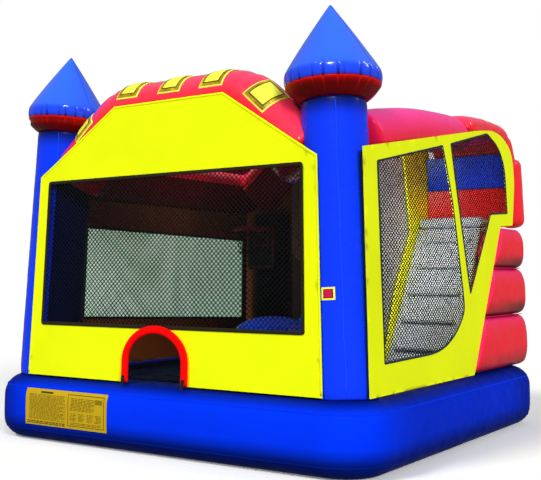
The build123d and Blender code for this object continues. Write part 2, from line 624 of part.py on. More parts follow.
# ---- inflation sleeve, strap and buckle ------------------------------------------------------------------------------------------
SLEEVE_Z, SLEEVE_R = 362, 132
OUT_Y = BLOWER_Y - 330                                # end of the blower's outlet ring
s0, s1 = (BLOWER_X, BASE_HALF_Y + 3, SLEEVE_Z), (BLOWER_X, OUT_Y + 75, SLEEVE_Z)
put("inflation_sleeve", tube(s0, s1, SLEEVE_R + 3) - tube((s0[0], s0[1] - 1, s0[2]), (s1[0], s1[1] + 1, s1[2]), SLEEVE_R))
STRAP_Y0, STRAP_Y1 = OUT_Y + 12, OUT_Y + 50
strap = (tube((BLOWER_X, STRAP_Y0, SLEEVE_Z), (BLOWER_X, STRAP_Y1, SLEEVE_Z), SLEEVE_R + 8)
         - tube((BLOWER_X, STRAP_Y0 - 1, SLEEVE_Z), (BLOWER_X, STRAP_Y1 + 1, SLEEVE_Z), SLEEVE_R + 4))
put("sleeve_strap", strap)
top = SLEEVE_Z + SLEEVE_R + 8
my = (STRAP_Y0 + STRAP_Y1) / 2
cheeks = [Solid.make_box(44, 3, 20, Plane((BLOWER_X - 22, my + s * 24 - 1.5, top + 3))) for s in (-1, 1)]
plate = Solid.make_box(44, 51, 3, Plane((BLOWER_X - 22, my - 25.5, top + 1)))
PIN_X, PIN_Z = BLOWER_X - 12, top + 14
pin = tube((PIN_X, my - 25.5, PIN_Z), (PIN_X, my + 25.5, PIN_Z), 2.5)
put("buckle_frame", biggest(plate + cheeks[0] + cheeks[1] + pin))
lever = (tube((PIN_X, my - 21, PIN_Z), (PIN_X, my + 21, PIN_Z), 6)
         + Solid.make_box(58, 42, 4, Plane((PIN_X, my - 21, PIN_Z + 2))))
lever = lever - tube((PIN_X, my - 30, PIN_Z), (PIN_X, my + 30, PIN_Z), 2.56)
put("buckle_lever", biggest(lever))

# ---- blower: drum, outlet, inlet grille, wheel, motor, handle, feet, switch --------------------------------------------------------
bx0, bx1 = BLOWER_X - DRUM_W / 2, BLOWER_X + DRUM_W / 2
T = 4
DUCT_Z0, DUCT_Z1 = SLEEVE_Z - 88, SLEEVE_Z + 88
drum = tube((bx0, BLOWER_Y, BLOWER_Z), (bx1, BLOWER_Y, BLOWER_Z), DRUM_R)
duct = Solid.make_box(DRUM_W, 230, DUCT_Z1 - DUCT_Z0, Plane((bx0, BLOWER_Y - 230, DUCT_Z0)))
air_drum = tube((bx0 + T, BLOWER_Y, BLOWER_Z), (bx1 - T, BLOWER_Y, BLOWER_Z), DRUM_R - T)
air_duct = Solid.make_box(DRUM_W - 2 * T, 240, DUCT_Z1 - DUCT_Z0 - 2 * T, Plane((bx0 + T, BLOWER_Y - 240, DUCT_Z0 + T)))
inlet = tube((bx1 - 20, BLOWER_Y, BLOWER_Z), (bx1 + 20, BLOWER_Y, BLOWER_Z), 120)
shaft_hole = tube((bx0 - 20, BLOWER_Y, BLOWER_Z), (bx0 + 20, BLOWER_Y, BLOWER_Z), 30)
put("blower_housing", biggest((drum + duct) - air_drum - air_duct - inlet - shaft_hole))
neck0 = BLOWER_Y - 232
plate_o = Solid.make_box(DRUM_W + 34, 8, 290, Plane((bx0 - 17, neck0 - 8, SLEEVE_Z - 145)))
ring_o = tube((BLOWER_X, neck0 - 100, SLEEVE_Z), (BLOWER_X, neck0 - 4, SLEEVE_Z), SLEEVE_R - 3)
bore_o = tube((BLOWER_X, neck0 - 110, SLEEVE_Z), (BLOWER_X, neck0 + 10, SLEEVE_Z), SLEEVE_R - 8)
mouth = Solid.make_box(DRUM_W - 2 * T, 12, DUCT_Z1 - DUCT_Z0 - 2 * T, Plane((bx0 + T, neck0 - 10, DUCT_Z0 + T)))
put("blower_outlet", biggest(plate_o + ring_o - bore_o))

grille = tube((bx1 + 2, BLOWER_Y, BLOWER_Z), (bx1 + 10, BLOWER_Y, BLOWER_Z), 134)
rings = grille
for r0, r1 in ((112, 92), (82, 62), (52, 32)):
    gapring = tube((bx1, BLOWER_Y, BLOWER_Z), (bx1 + 12, BLOWER_Y, BLOWER_Z), r0) - \
        tube((bx1 - 2, BLOWER_Y, BLOWER_Z), (bx1 + 14, BLOWER_Y, BLOWER_Z), r1)
    for k in range(3):
        bar = Solid.make_box(16, 240, 9, Plane((bx1 - 2, BLOWER_Y - 120, BLOWER_Z - 4.5)))
        gapring = gapring - bar.rotate(Axis((0, BLOWER_Y, BLOWER_Z), (1, 0, 0)), 60 * k)
    rings = rings - gapring
put("inlet_grille", biggest(rings))

wheel_x0, wheel_x1 = bx0 + 30, bx1 - 26
backplate = tube((wheel_x0, BLOWER_Y, BLOWER_Z), (wheel_x0 + 5, BLOWER_Y, BLOWER_Z), 150)
hub = tube((wheel_x0 - 12, BLOWER_Y, BLOWER_Z), (wheel_x0 + 50, BLOWER_Y, BLOWER_Z), 24)
rim = tube((wheel_x1 - 6, BLOWER_Y, BLOWER_Z), (wheel_x1, BLOWER_Y, BLOWER_Z), 150) - \
    tube((wheel_x1 - 8, BLOWER_Y, BLOWER_Z), (wheel_x1 + 2, BLOWER_Y, BLOWER_Z), 108)
wheel = backplate + hub + rim
BLADES = 12
for k in range(BLADES):
    blade = Solid.make_box(wheel_x1 - wheel_x0 - 4, 4, 44, Plane((wheel_x0 + 2, BLOWER_Y - 2, BLOWER_Z + 104)))
    blade = blade.rotate(Axis((0, BLOWER_Y, BLOWER_Z + 126), (1, 0, 0)), 35)
    wheel = wheel + blade.rotate(Axis((0, BLOWER_Y, BLOWER_Z), (1, 0, 0)), 360 / BLADES * k)
shaft = tube((bx0 - 60, BLOWER_Y, BLOWER_Z), (wheel_x0 + 10, BLOWER_Y, BLOWER_Z), 8)
put("impeller", biggest(wheel + shaft))

motor = tube((bx0 - 170, BLOWER_Y, BLOWER_Z), (bx0 - 2, BLOWER_Y, BLOWER_Z), 82)
for k in range(16):
    fin = Solid.make_box(120, 5, 16, Plane((bx0 - 150, BLOWER_Y - 2.5, BLOWER_Z + 78)))
    motor = motor + fin.rotate(Axis((0, BLOWER_Y, BLOWER_Z), (1, 0, 0)), 22.5 * k)
motor = motor - tube((bx0 - 70, BLOWER_Y, BLOWER_Z), (bx0 + 2, BLOWER_Y, BLOWER_Z), 8.05)
motor = motor - tube((bx0 - 40, BLOWER_Y, BLOWER_Z), (bx0 + 2, BLOWER_Y, BLOWER_Z), 20)
put("blower_motor", biggest(motor))

HANDLE_Z = BLOWER_Z + DRUM_R + 62
posts = [tube((BLOWER_X + s * 70, BLOWER_Y + 40, BLOWER_Z + DRUM_R + 6), (BLOWER_X + s * 70, BLOWER_Y + 40, HANDLE_Z), 10)
         for s in (-1, 1)]
grip = tube((BLOWER_X - 80, BLOWER_Y + 40, HANDLE_Z), (BLOWER_X + 80, BLOWER_Y + 40, HANDLE_Z), 15)
pads = [tube((BLOWER_X + s * 70, BLOWER_Y + 40, BLOWER_Z + DRUM_R - 2), (BLOWER_X + s * 70, BLOWER_Y + 40, BLOWER_Z + DRUM_R + 10), 22)
        for s in (-1, 1)]
handle = grip
for piece in posts + pads:
    handle = handle + piece
handle = handle - tube((bx0 - 40, BLOWER_Y, BLOWER_Z), (bx1 + 40, BLOWER_Y, BLOWER_Z), DRUM_R + 1)
put("blower_handle", biggest(handle))

# a cradle under the drum carries four rubber feet
cradle = Solid.make_box(DRUM_W + 60, 300, 70, Plane((bx0 - 30, BLOWER_Y - 150, 26)))
cradle = cradle - tube((bx0 - 80, BLOWER_Y, BLOWER_Z), (bx1 + 80, BLOWER_Y, BLOWER_Z), DRUM_R + 1)
cradle = cradle - Solid.make_box(DRUM_W - 20, 400, 40, Plane((bx0 + 10, BLOWER_Y - 200, 20)))
put("blower_stand", *cradle.solids(), *[tube((BLOWER_X + sx * 125, BLOWER_Y + sy * 125, 0), (BLOWER_X + sx * 125, BLOWER_Y + sy * 125, 25.5), 20, 16)
                     for sx in (-1, 1) for sy in (-1, 1)])

# switch box on the duct's top, with a rocker and a cord gland
bxo, byo, bzo = BLOWER_X - 20, BLOWER_Y - 210, DUCT_Z1 + 1
box = Solid.make_box(110, 90, 46, Plane((bxo, byo, bzo)))
well = Solid.make_box(34, 24, 20, Plane((bxo + 20, byo + 33, bzo + 46 - 14)))
RX, RY, RZ = bxo + 37, byo + 45, bzo + 46 - 3
rock = tube((RX, RY - 10, RZ), (RX, RY + 10, RZ), 9) + Solid.make_box(28, 20, 6, Plane((RX - 14, RY - 10, RZ - 1)))
rock = rock.rotate(Axis((RX, RY, RZ), (0, 1, 0)), 9)
put("rocker", biggest(rock))
gland = (tube((bxo + 111, byo + 45, bzo + 22), (bxo + 131, byo + 45, bzo + 22), 12)
         + tube((bxo + 131, byo + 45, bzo + 22), (bxo + 141, byo + 45, bzo + 22), 9))
gland = gland - tube((bxo + 119, byo + 45, bzo + 22), (bxo + 150, byo + 45, bzo + 22), 5)
put("switch_box", box - well, biggest(gland))

# ---- write one STEP per piece -------------------------------------------------------------------------------------------------------
os.makedirs("parts", exist_ok=True)
for name, shape in nodes.items():
    export_step(shape, f"parts/{name}.step")
print(len(nodes), "nodes")
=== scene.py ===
import math
import random

import bpy
import bmesh
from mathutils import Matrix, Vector, noise
from mathutils.geometry import delaunay_2d_cdt


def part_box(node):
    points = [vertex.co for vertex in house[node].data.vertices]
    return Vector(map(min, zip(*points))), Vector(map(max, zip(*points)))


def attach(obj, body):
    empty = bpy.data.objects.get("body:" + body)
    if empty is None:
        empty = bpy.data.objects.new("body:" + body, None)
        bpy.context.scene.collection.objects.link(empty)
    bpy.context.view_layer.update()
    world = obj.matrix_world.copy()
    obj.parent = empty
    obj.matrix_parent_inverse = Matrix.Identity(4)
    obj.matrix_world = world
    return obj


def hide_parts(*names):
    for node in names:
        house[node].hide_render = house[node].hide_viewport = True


# Looks of the inflatable bounce house: air-filled PVC chambers, sheets, nets and fittings built
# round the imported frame. Metres; +X right along the front wall, +Y to the rear, +Z up.

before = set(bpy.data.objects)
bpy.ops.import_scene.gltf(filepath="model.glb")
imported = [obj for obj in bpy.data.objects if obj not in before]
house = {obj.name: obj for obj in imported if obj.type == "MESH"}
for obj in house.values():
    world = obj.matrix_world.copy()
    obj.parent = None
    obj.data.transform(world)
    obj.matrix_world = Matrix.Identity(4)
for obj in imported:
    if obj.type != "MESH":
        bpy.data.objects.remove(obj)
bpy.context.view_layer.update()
rng = random.Random(7)

# ---- layout, as the frame has it -----------------------------------------------------------------
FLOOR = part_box("bounce_floor")[1].z
BASE_X, BASE_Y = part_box("base_ring")[1].x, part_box("base_ring")[1].y
CORNER, BULGE, RING_W = 0.45, 0.205, 0.45
INNER_X, INNER_Y = BASE_X - RING_W, BASE_Y - RING_W
LEAN_X, LEAN_Y = 0.01934, 0.01658       # share of x and y by which walls lean in, per metre up
WALL_X, WALL_Y, LEFT_X = 2.12, 1.99, -1.78
TOWER_X, TOWER_Y, TOWER_R = 1.80, -1.67, 0.305
COLLAR_LOW, SEAM_Z, SHOULDER_Z, TIP_Z = 3.197, 3.340, 3.480, 4.080
TOWER_LEAN = 0.031                         # the same share, for the front towers
CROWNS = {"left": (0.394, 4.030), "right": (0.422, 4.080)}     # turret radius at the seam, tip height
BEAM_R = 0.30
ROOF_Z = 3.345
LANE_IN, LANE_OUT = 1.085, 1.880
DECK_Z, DECK_Y = 2.220, 1.450
LOW = FLOOR + 0.012
ROOM_END = 1.90                            # where the walls and pads end to the rear


def lean(x, y, z):
    """Where a point of the upright layout lies: the walls lean in as they rise."""
    h = max(z - FLOOR, 0)
    return Vector((x * (1 - LEAN_X * h), y * (1 - LEAN_Y * h), z))


# ---- camera and light ----------------------------------------------------------------------------
def make_camera():
    data = bpy.data.cameras.new("camera")
    data.sensor_width, data.lens = 36, 62.23
    data.clip_end = 200
    cam = bpy.data.objects.new("camera", data)
    cam.location = (5.747, -8.669, 1.672)
    cam.rotation_euler = (math.radians(92.2), 0, math.radians(33.94))
    bpy.context.scene.collection.objects.link(cam)
    bpy.context.scene.camera = cam


def lamp(kind, name, place, target, strength, colour=(1, 1, 1), **settings):
    """A light at a place, turned to a target; settings go to its data."""
    data = bpy.data.lights.new(name, kind)
    data.energy, data.color = strength, colour
    for key, value in settings.items():
        setattr(data, key, value)
    light = bpy.data.objects.new(name, data)
    light.location = place
    light.rotation_euler = (Vector(target) - Vector(place)).to_track_quat("-Z", "Y").to_euler()
    bpy.context.scene.collection.objects.link(light)
    return light


def make_light():
    """Two soft high lights, one for each side the camera sees, a small one for glints, and a pale sky."""
    world = bpy.data.worlds.new("studio")
    bpy.context.scene.world = world
    world.use_nodes = True
    nodes, links = world.node_tree.nodes, world.node_tree.links
    soft = nodes["Background"]
    soft.inputs["Color"].default_value = (0.95, 0.97, 1.0, 1)
    soft.inputs["Strength"].default_value = 0.30
    plain = nodes.new("ShaderNodeBackground")
    plain.inputs["Color"].default_value = (1, 1, 1, 1)
    seen = nodes.new("ShaderNodeLightPath")
    mix = nodes.new("ShaderNodeMixShader")
    links.new(seen.outputs["Is Camera Ray"], mix.inputs["Fac"])
    links.new(soft.outputs["Background"], mix.inputs[1])
    links.new(plain.outputs["Background"], mix.inputs[2])
    links.new(mix.outputs["Shader"], nodes["World Output"].inputs["Surface"])
    centre = (0, 0, 1.8)
    front = lamp("SUN", "front_light", (-3, -8, 11), centre, 1.62, (1, 0.99, 0.97), angle=math.radians(16))
    side = lamp("SUN", "side_light", (9, -6.2, 6.4), centre, 2.42, (1, 1, 1), angle=math.radians(20))
    for light in (front, side):
        light.visible_glossy = False
    shine = lamp("AREA", "glint_light", (4.6, -8.6, 9.6), centre, 420, shape="DISK", size=1.1)
    shine.visible_diffuse = False
    rim = lamp("AREA", "rim_light", (7.5, 2.5, 8.5), centre, 150, shape="RECTANGLE", size=0.5, size_y=4.0)
    rim.visible_diffuse = False
    lane = lamp("AREA", "lane_light", (1.50, -0.35, 2.35), (1.45, 1.75, 2.35), 34,
                shape="RECTANGLE", size=0.7, size_y=0.9)
    roof = lamp("AREA", "roof_light", (0.2, -0.3, 2.05), (0.2, 0.2, 3.3), 14,
                shape="RECTANGLE", size=1.6, size_y=1.2)
    for fill in (lane, roof):
        fill.visible_glossy = fill.visible_camera = False


def view_colours():
    settings = bpy.context.scene.view_settings
    settings.view_transform = "Standard"
    settings.look = "None"


# ---- materials -----------------------------------------------------------------------------------
def shader(name, colour, roughness=0.35, **values):
    """A material with its constant values set on the shader itself."""
    mat = bpy.data.materials.new(name)
    mat.use_nodes = True
    bsdf = mat.node_tree.nodes["Principled BSDF"]
    bsdf.inputs["Base Color"].default_value = (*colour, 1)
    bsdf.inputs["Roughness"].default_value = roughness
    for key, value in values.items():
        bsdf.inputs[key.replace("_", " ")].default_value = value
    return mat


class Graph:
    """Short calls for the nodes of one material."""

    def __init__(self, mat):
        self.nodes, self.links = mat.node_tree.nodes, mat.node_tree.links
        self.bsdf = self.nodes["Principled BSDF"]
        self.coord = self.nodes.new("ShaderNodeTexCoord")

    def add(self, kind, **props):
        node = self.nodes.new("ShaderNode" + kind)
        for key, value in props.items():
            setattr(node, key, value)
        return node

    def noise(self, scale, detail=3.0, source="Object", stretch=None, rough=0.5):
        tex = self.add("TexNoise")
        tex.inputs["Scale"].default_value = scale
        tex.inputs["Detail"].default_value = detail
        tex.inputs["Roughness"].default_value = rough
        out = self.coord.outputs[source]
        if stretch:
            mapping = self.add("Mapping")
            mapping.inputs["Scale"].default_value = stretch
            self.links.new(out, mapping.inputs["Vector"])
            out = mapping.outputs["Vector"]
        self.links.new(out, tex.inputs["Vector"])
        return tex.outputs["Fac"]

    def wave(self, scale, direction, source="UV", distort=0.0):
        tex = self.add("TexWave", bands_direction=direction)
        tex.inputs["Scale"].default_value = scale
        tex.inputs["Distortion"].default_value = distort
        self.links.new(self.coord.outputs[source], tex.inputs["Vector"])
        return tex.outputs["Fac"]

    def ramp(self, source, *stops):
        node = self.add("ValToRGB")
        ends = node.color_ramp.elements
        while len(ends) < len(stops):
            ends.new(0.5)
        for element, (place, colour) in zip(ends, stops):
            element.position = place
            element.color = (*colour, 1) if len(colour) == 3 else colour
        self.links.new(source, node.inputs["Fac"])
        return node.outputs["Color"]

    def span(self, source, low, high, to_low=0.0, to_high=1.0):
        node = self.add("MapRange")
        for key, value in (("From Min", low), ("From Max", high), ("To Min", to_low), ("To Max", to_high)):
            node.inputs[key].default_value = value
        self.links.new(source, node.inputs["Value"])
        return node.outputs["Result"]

    def mix(self, fac, a, b, blend="MIX"):
        node = self.add("Mix", data_type="RGBA", blend_type=blend)
        for socket, value in ((node.inputs[0], fac), (node.inputs[6], a), (node.inputs[7], b)):
            if hasattr(value, "is_linked"):
                self.links.new(value, socket)
            elif isinstance(value, (int, float)):
                socket.default_value = value
            else:
                socket.default_value = (*value, 1)
        return node.outputs[2]

    def axis(self, which, source="Object"):
        node = self.add("SeparateXYZ")
        self.links.new(self.coord.outputs[source], node.inputs[0])
        return node.outputs[which]

    def bump(self, source, strength, distance, after=None):
        node = self.add("Bump")
        node.inputs["Strength"].default_value = strength
        node.inputs["Distance"].default_value = distance
        self.links.new(source, node.inputs["Height"])
        if after:
            self.links.new(after, node.inputs["Normal"])
        return node.outputs["Normal"]

    def to(self, socket, source):
        self.links.new(source, self.bsdf.inputs[socket])


def vinyl(name, colour, top=None, under=None, shade=None, roughness=0.3, gloss=0.25, coat=0.0, height=None,
          wrinkles=1.0, soil=0.12):
    """PVC-coated fabric: scrim weave and fine crinkles, with painted light: top paints a sky reflection where
    it faces up, under paints shade where it faces down.

    shade is the colour where the mesh's own "shade" value is 1: painted shade in creases and under swells,
    and on the collars and platform bands a brighter painted light. height paints shade by height."""
    mat = shader(name, colour, roughness, Specular_IOR_Level=gloss, Coat_Weight=coat, Coat_Roughness=0.10)
    g = Graph(mat)
    tone = g.mix(g.span(g.noise(1.7, 4), 0.35, 0.75, 0, 0.6), colour, [c * 0.88 for c in colour])
    facing = g.axis("Z", "Normal")
    # painted sky reflection: faces that point up take the top colour
    if top:
        tone = g.mix(g.span(facing, 0.10, 0.90), tone, top)
    # painted shade: faces that point down take the under colour
    if under:
        tone = g.mix(g.span(facing, -0.05, -0.8), tone, under)
    # painted shade by height
    if height:
        tone = g.mix(g.ramp(g.span(g.axis("Z"), height[0], height[1]), *height[2]), tone, height[3])
    # painted light and shade from the mesh's shade value
    if shade:
        value = g.add("Attribute", attribute_name="shade")
        tone = g.mix(value.outputs["Fac"], tone, shade)
    tone = g.mix(g.span(g.noise(6.5, 5, rough=0.7), 0.60, 0.82, 0, soil), tone, [c * 0.5 for c in colour])
    g.to("Base Color", tone)
    g.to("Roughness", g.span(g.noise(9, 4), 0.3, 0.7, roughness * 0.8, roughness * 1.25))
    weave = g.mix(0.5, g.wave(420, "X"), g.wave(420, "Y"))
    normal = g.bump(weave, 0.08, 0.0003)
    normal = g.bump(g.noise(26, 3, rough=0.6), 0.14 * wrinkles, 0.004, normal)
    normal = g.bump(g.noise(5, 2, stretch=(1, 1, 4)), 0.20 * wrinkles, 0.012, normal)
    g.to("Normal", normal)
    return mat


def woven(name, colour, threads=300, roughness=0.85, sheen=0.05, spread=0.8):
    """Webbing, cord and cloth with a visible weave."""
    mat = shader(name, colour, roughness, Sheen_Weight=sheen, Specular_IOR_Level=0.12)
    g = Graph(mat)
    weave = g.mix(0.5, g.wave(threads, "X", "Object"), g.wave(threads, "Z", "Object"))
    tone = g.mix(g.span(weave, 0.2, 0.8), [c * spread for c in colour], colour)
    g.to("Base Color", g.mix(g.span(g.noise(14, 4), 0.35, 0.8, 0, 0.4), tone,
                             [min(c * 1.4, 1) for c in colour]))
    g.to("Normal", g.bump(weave, 0.4, 0.0006))
    return mat


def plastic(name, colour, roughness=0.4, grain=240):
    """Moulded plastic with a fine texture and rubbed patches."""
    mat = shader(name, colour, roughness, Specular_IOR_Level=0.3)
    g = Graph(mat)
    g.to("Base Color", g.mix(g.span(g.noise(7, 5), 0.45, 0.75, 0, 0.35), colour,
                             [c * 0.72 + 0.004 for c in colour]))
    g.to("Roughness", g.span(g.noise(12, 5), 0.3, 0.7, roughness * 0.8, roughness * 1.25))
    g.to("Normal", g.bump(g.noise(grain, 2), 0.18, 0.0006))
    return mat


def metal(name, colour, roughness=0.3, brushed=(1, 1, 30)):
    mat = shader(name, colour, roughness, Metallic=1.0)
    g = Graph(mat)
    g.to("Base Color", g.mix(g.span(g.noise(30, 4), 0.4, 0.7, 0, 0.4), colour, [c * 0.7 for c in colour]))
    g.to("Roughness", g.span(g.noise(60, 3, stretch=brushed), 0.3, 0.7, roughness * 0.7, roughness * 1.4))
    g.to("Normal", g.bump(g.noise(160, 2, stretch=brushed), 0.12, 0.0003))
    return mat


def gold_print(name):
    """Printed gold bevel, its tone varying at random from dark to pale gold."""
    mat = shader(name, (0.62, 0.40, 0.02), 0.35, Specular_IOR_Level=0.3)
    g = Graph(mat)
    tone = g.ramp(g.span(g.noise(9, 3), 0.25, 0.75), (0.0, (0.16, 0.085, 0.001)), (0.55, (0.42, 0.27, 0.004)),
                  (1.0, (0.85, 0.70, 0.03)))
    g.to("Base Color", tone)
    g.to("Normal", g.bump(g.noise(30, 3), 0.1, 0.003))
    return mat


YELLOW = (0.90, 1.0, 0.004)
# BLUE_TOP, RED_TOP and PINK are painted sky reflections on faces that point up; NAVY is painted shade on
# faces that point down; MAROON is the collars' painted shade
BLUE, BLUE_TOP, NAVY = (0.003, 0.042, 0.97), (0.012, 0.115, 0.98), (0.001, 0.010, 0.34)
RED, RED_TOP = (0.97, 0.014, 0.030), (0.99, 0.050, 0.14)
PINK, MAROON = (0.99, 0.030, 0.34), (0.17, 0.0006, 0.0006)

# Painted shade on the base: darker towards its foot and its top rim
BASE_PAINTED_SHADE = ((0.0, (1, 1, 1)), (0.22, (0.85, 0.85, 0.85)), (0.42, (0.10, 0.10, 0.10)), (0.66, (0, 0, 0)),
             (0.84, (0.12, 0.12, 0.12)), (0.96, (0.80, 0.80, 0.80)), (1.0, (0.95, 0.95, 0.95)))
# In the vinyls below, top colours are painted sky reflection, under colours painted shade, and shade colours
# painted shade where darker and painted light where brighter
LOOK = {
    # base: painted shade by height and towards the far end of each side
    "base": vinyl("vinyl_base_blue", (0.0008, 0.038, 0.98), shade=(0.0004, 0.009, 0.17),
                  roughness=0.50, gloss=0.02, height=(0.0, FLOOR, BASE_PAINTED_SHADE, (0.0004, 0.006, 0.085))),
    "base_patch": vinyl("vinyl_patch_blue", (0.002, 0.022, 0.55), roughness=0.4, gloss=0.15),
    "blue": vinyl("vinyl_blue", BLUE, top=BLUE_TOP, under=NAVY, shade=(0.0005, 0.004, 0.055),
                  roughness=0.30, gloss=0.15),
    # cone: painted sky reflection on top, painted shade below and in the gathers
    "cone": vinyl("vinyl_cone_blue", (0.006, 0.060, 0.95), top=(0.035, 0.185, 0.96), under=NAVY,
                  shade=(0.001, 0.008, 0.16),
                  roughness=0.20, gloss=0.45, coat=0.25, wrinkles=0.6),
    # weld: a real seam; its paler blue on the tower weld is also a painted highlight
    "weld": vinyl("vinyl_weld_blue", (0.010, 0.085, 0.98), roughness=0.30, gloss=0.25),
    # painted shade: near-black navy for the towers' sides within the room
    "navy": vinyl("vinyl_tower_painted_shade", (0.0015, 0.006, 0.060), roughness=0.5, gloss=0.05),
    "red": vinyl("vinyl_red", RED, top=RED_TOP, under=(0.70, 0.001, 0.003), shade=(0.30, 0.001, 0.004),
                 roughness=0.20, gloss=0.50, coat=0.10),
    "arch": vinyl("vinyl_arch_red", (1.0, 0.0015, 0.0015), under=(0.6, 0.0, 0.0), roughness=0.42,
                  gloss=0.08, wrinkles=0.5),
    # painted shade: dark red for beam faces that look into the room
    "red_inside": vinyl("vinyl_red_inside_painted_shade", (0.11, 0.002, 0.003), roughness=0.5, gloss=0.08),
    "pink": vinyl("vinyl_red_pink", (0.95, 0.009, 0.060), top=PINK, under=(0.50, 0.001, 0.008),
                  roughness=0.28, gloss=0.30),
    # collar: MAROON is painted shade under the cone; its shade colour is a painted light, brighter red under
    # the seam and along the folds
    "collar": vinyl("vinyl_collar_red", MAROON, shade=(0.95, 0.006, 0.002), roughness=0.35, gloss=0.10),
    # stack: pink tops are painted sky reflection, darker undersides and lower parts painted shade
    "stack": vinyl("vinyl_stack_red", (0.98, 0.010, 0.026), top=(0.95, 0.020, 0.20),
                   under=(0.20, 0.010, 0.006),
                   shade=(0.10, 0.010, 0.006), roughness=0.34, gloss=0.25),
    "yellow": vinyl("vinyl_yellow", YELLOW, roughness=0.48, gloss=0.06, wrinkles=0.45, soil=0.03),
    # painted shade: dark brown for the wall sheets' inner faces, yellow in shade
    "wall_shade": vinyl("vinyl_wall_inside_painted_shade", (0.20, 0.060, 0.018), roughness=0.7, gloss=0.03),
    # painted shade: near-black brown for the sheet beside the slide, a sheet in shade
    "slide_wall": vinyl("vinyl_slide_wall_painted_shade", (0.020, 0.012, 0.008), roughness=0.7, gloss=0.03),
    "roof": vinyl("vinyl_roof_red", (0.80, 0.008, 0.018), roughness=0.35, gloss=0.20),
    # painted shade: dark red for the roof's underside
    "roof_inside": vinyl("vinyl_roof_inside_painted_shade", (0.42, 0.004, 0.006), roughness=0.6, gloss=0.05),
    "grey": vinyl("vinyl_grey", (0.60, 0.66, 0.72), shade=(0.40, 0.43, 0.47), roughness=0.5, gloss=0.10),
    # the mattress's navy is darkened to near-black: partly its own colour, partly painted shade of the room
    "floor": vinyl("vinyl_floor_navy_painted_shade", (0.002, 0.006, 0.035), roughness=0.6, gloss=0.05),
    "rung": vinyl("vinyl_rung_grey", (0.60, 0.65, 0.70), roughness=0.4, gloss=0.15),
    # divider: its shade colour is painted shade
    "divider": vinyl("vinyl_divider_grey", (0.62, 0.63, 0.65), shade=(0.16, 0.16, 0.17),
                  roughness=0.5, gloss=0.10),
    "divider_yellow": vinyl("vinyl_divider_yellow", (1.0, 1.0, 0.004), roughness=0.4, gloss=0.10),
    # band_red and band_blue: their shade colours are brighter, a painted light
    "band_red": vinyl("vinyl_band_red", (1.0, 0.010, 0.006), shade=(1.0, 0.20, 0.20),
                  roughness=0.4, gloss=0.15),
    "band_blue": vinyl("vinyl_band_blue", (0.004, 0.055, 1.0), shade=(0.20, 0.33, 1.0),
                  roughness=0.4, gloss=0.15),
    # painted shade: the rear column drawn near-black, a blue column in deep shade
    "column_dark": vinyl("vinyl_column_painted_shade", (0.006, 0.006, 0.009), roughness=0.6, gloss=0.04),
    "net": woven("net_black", (0.010, 0.011, 0.012), threads=900, sheen=0.0),
    "net_grey": woven("net_painted_daylight", (0.80, 1.0, 0.84), threads=900, sheen=0.0),
    "binding": woven("binding_dark", (0.020, 0.016, 0.008), threads=500),
    "slate": woven("binding_slate", (0.018, 0.034, 0.046), threads=500),
    "webbing": woven("webbing_black", (0.010, 0.010, 0.011), threads=420),
    "thread": woven("stitch_thread", (0.52, 0.53, 0.50), threads=1500, roughness=0.6),
    "ochre": plastic("print_ochre", (0.56, 0.37, 0.004), 0.5, grain=120),
    "ink": plastic("print_ink", (0.060, 0.044, 0.002), 0.5, grain=300),
    "gold": gold_print("print_gold"),
    "gold_rim": plastic("print_gold_rim", (0.95, 0.93, 0.10), 0.4, grain=90),
    "gold_line": plastic("print_gold_line", (0.085, 0.045, 0.001), 0.4, grain=90),
    "gold_centre": vinyl("print_gold_centre", (0.90, 0.93, 0.07), roughness=0.4, gloss=0.15, wrinkles=0.6),
    "tag_pink": plastic("print_tag_pink", (0.62, 0.006, 0.06), 0.4),
    "tag_dark": plastic("print_tag_dark", (0.11, 0.002, 0.004), 0.4),
    "steel": metal("zinc_steel", (0.62, 0.63, 0.64), 0.3),
    "alloy": metal("motor_alloy", (0.50, 0.51, 0.52), 0.42, brushed=(30, 1, 1)),
    "shell": plastic("blower_shell_plastic", (0.012, 0.085, 0.42), 0.38),
    "accent": plastic("blower_yellow_plastic", (0.85, 0.60, 0.02), 0.4),
    "rubber": plastic("rubber_black", (0.016, 0.016, 0.017), 0.7, grain=400),
    "switch": plastic("switch_black", (0.020, 0.020, 0.022), 0.45),
    "rocker": plastic("rocker_red", (0.75, 0.015, 0.012), 0.3),
    "hoop": plastic("hoop_red", (0.16, 0.004, 0.004), 0.4),
    "board": vinyl("hoop_board_dark", (0.012, 0.010, 0.012), roughness=0.45, gloss=0.1),
    "sleeve": woven("sleeve_nylon_blue", (0.008, 0.045, 0.42), threads=260, roughness=0.6, sheen=0.15),
}


# ---- mesh tools ----------------------------------------------------------------------------------
def backlit(mat, colour, strength):
    """Painted light: a faint glow on thin cloth, standing in for daylight coming through it from behind."""
    bsdf = next(n for n in mat.node_tree.nodes if n.type == "BSDF_PRINCIPLED")
    bsdf.inputs["Emission Color"].default_value = (*colour, 1)
    bsdf.inputs["Emission Strength"].default_value = strength


# painted light: the left net's pale colour and glow stand in for the daylight behind it
backlit(LOOK["net_grey"], (0.50, 1.0, 0.62), 0.22)


def keep(obj, look, nodes=(), body="house", sheet=None):
    """Gives a piece its material and body, and hides the frame parts it stands for."""
    for key in ([look] if isinstance(look, str) else look):
        obj.data.materials.append(LOOK[key])
    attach(obj, body)
    if nodes:
        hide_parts(*nodes)
    return obj


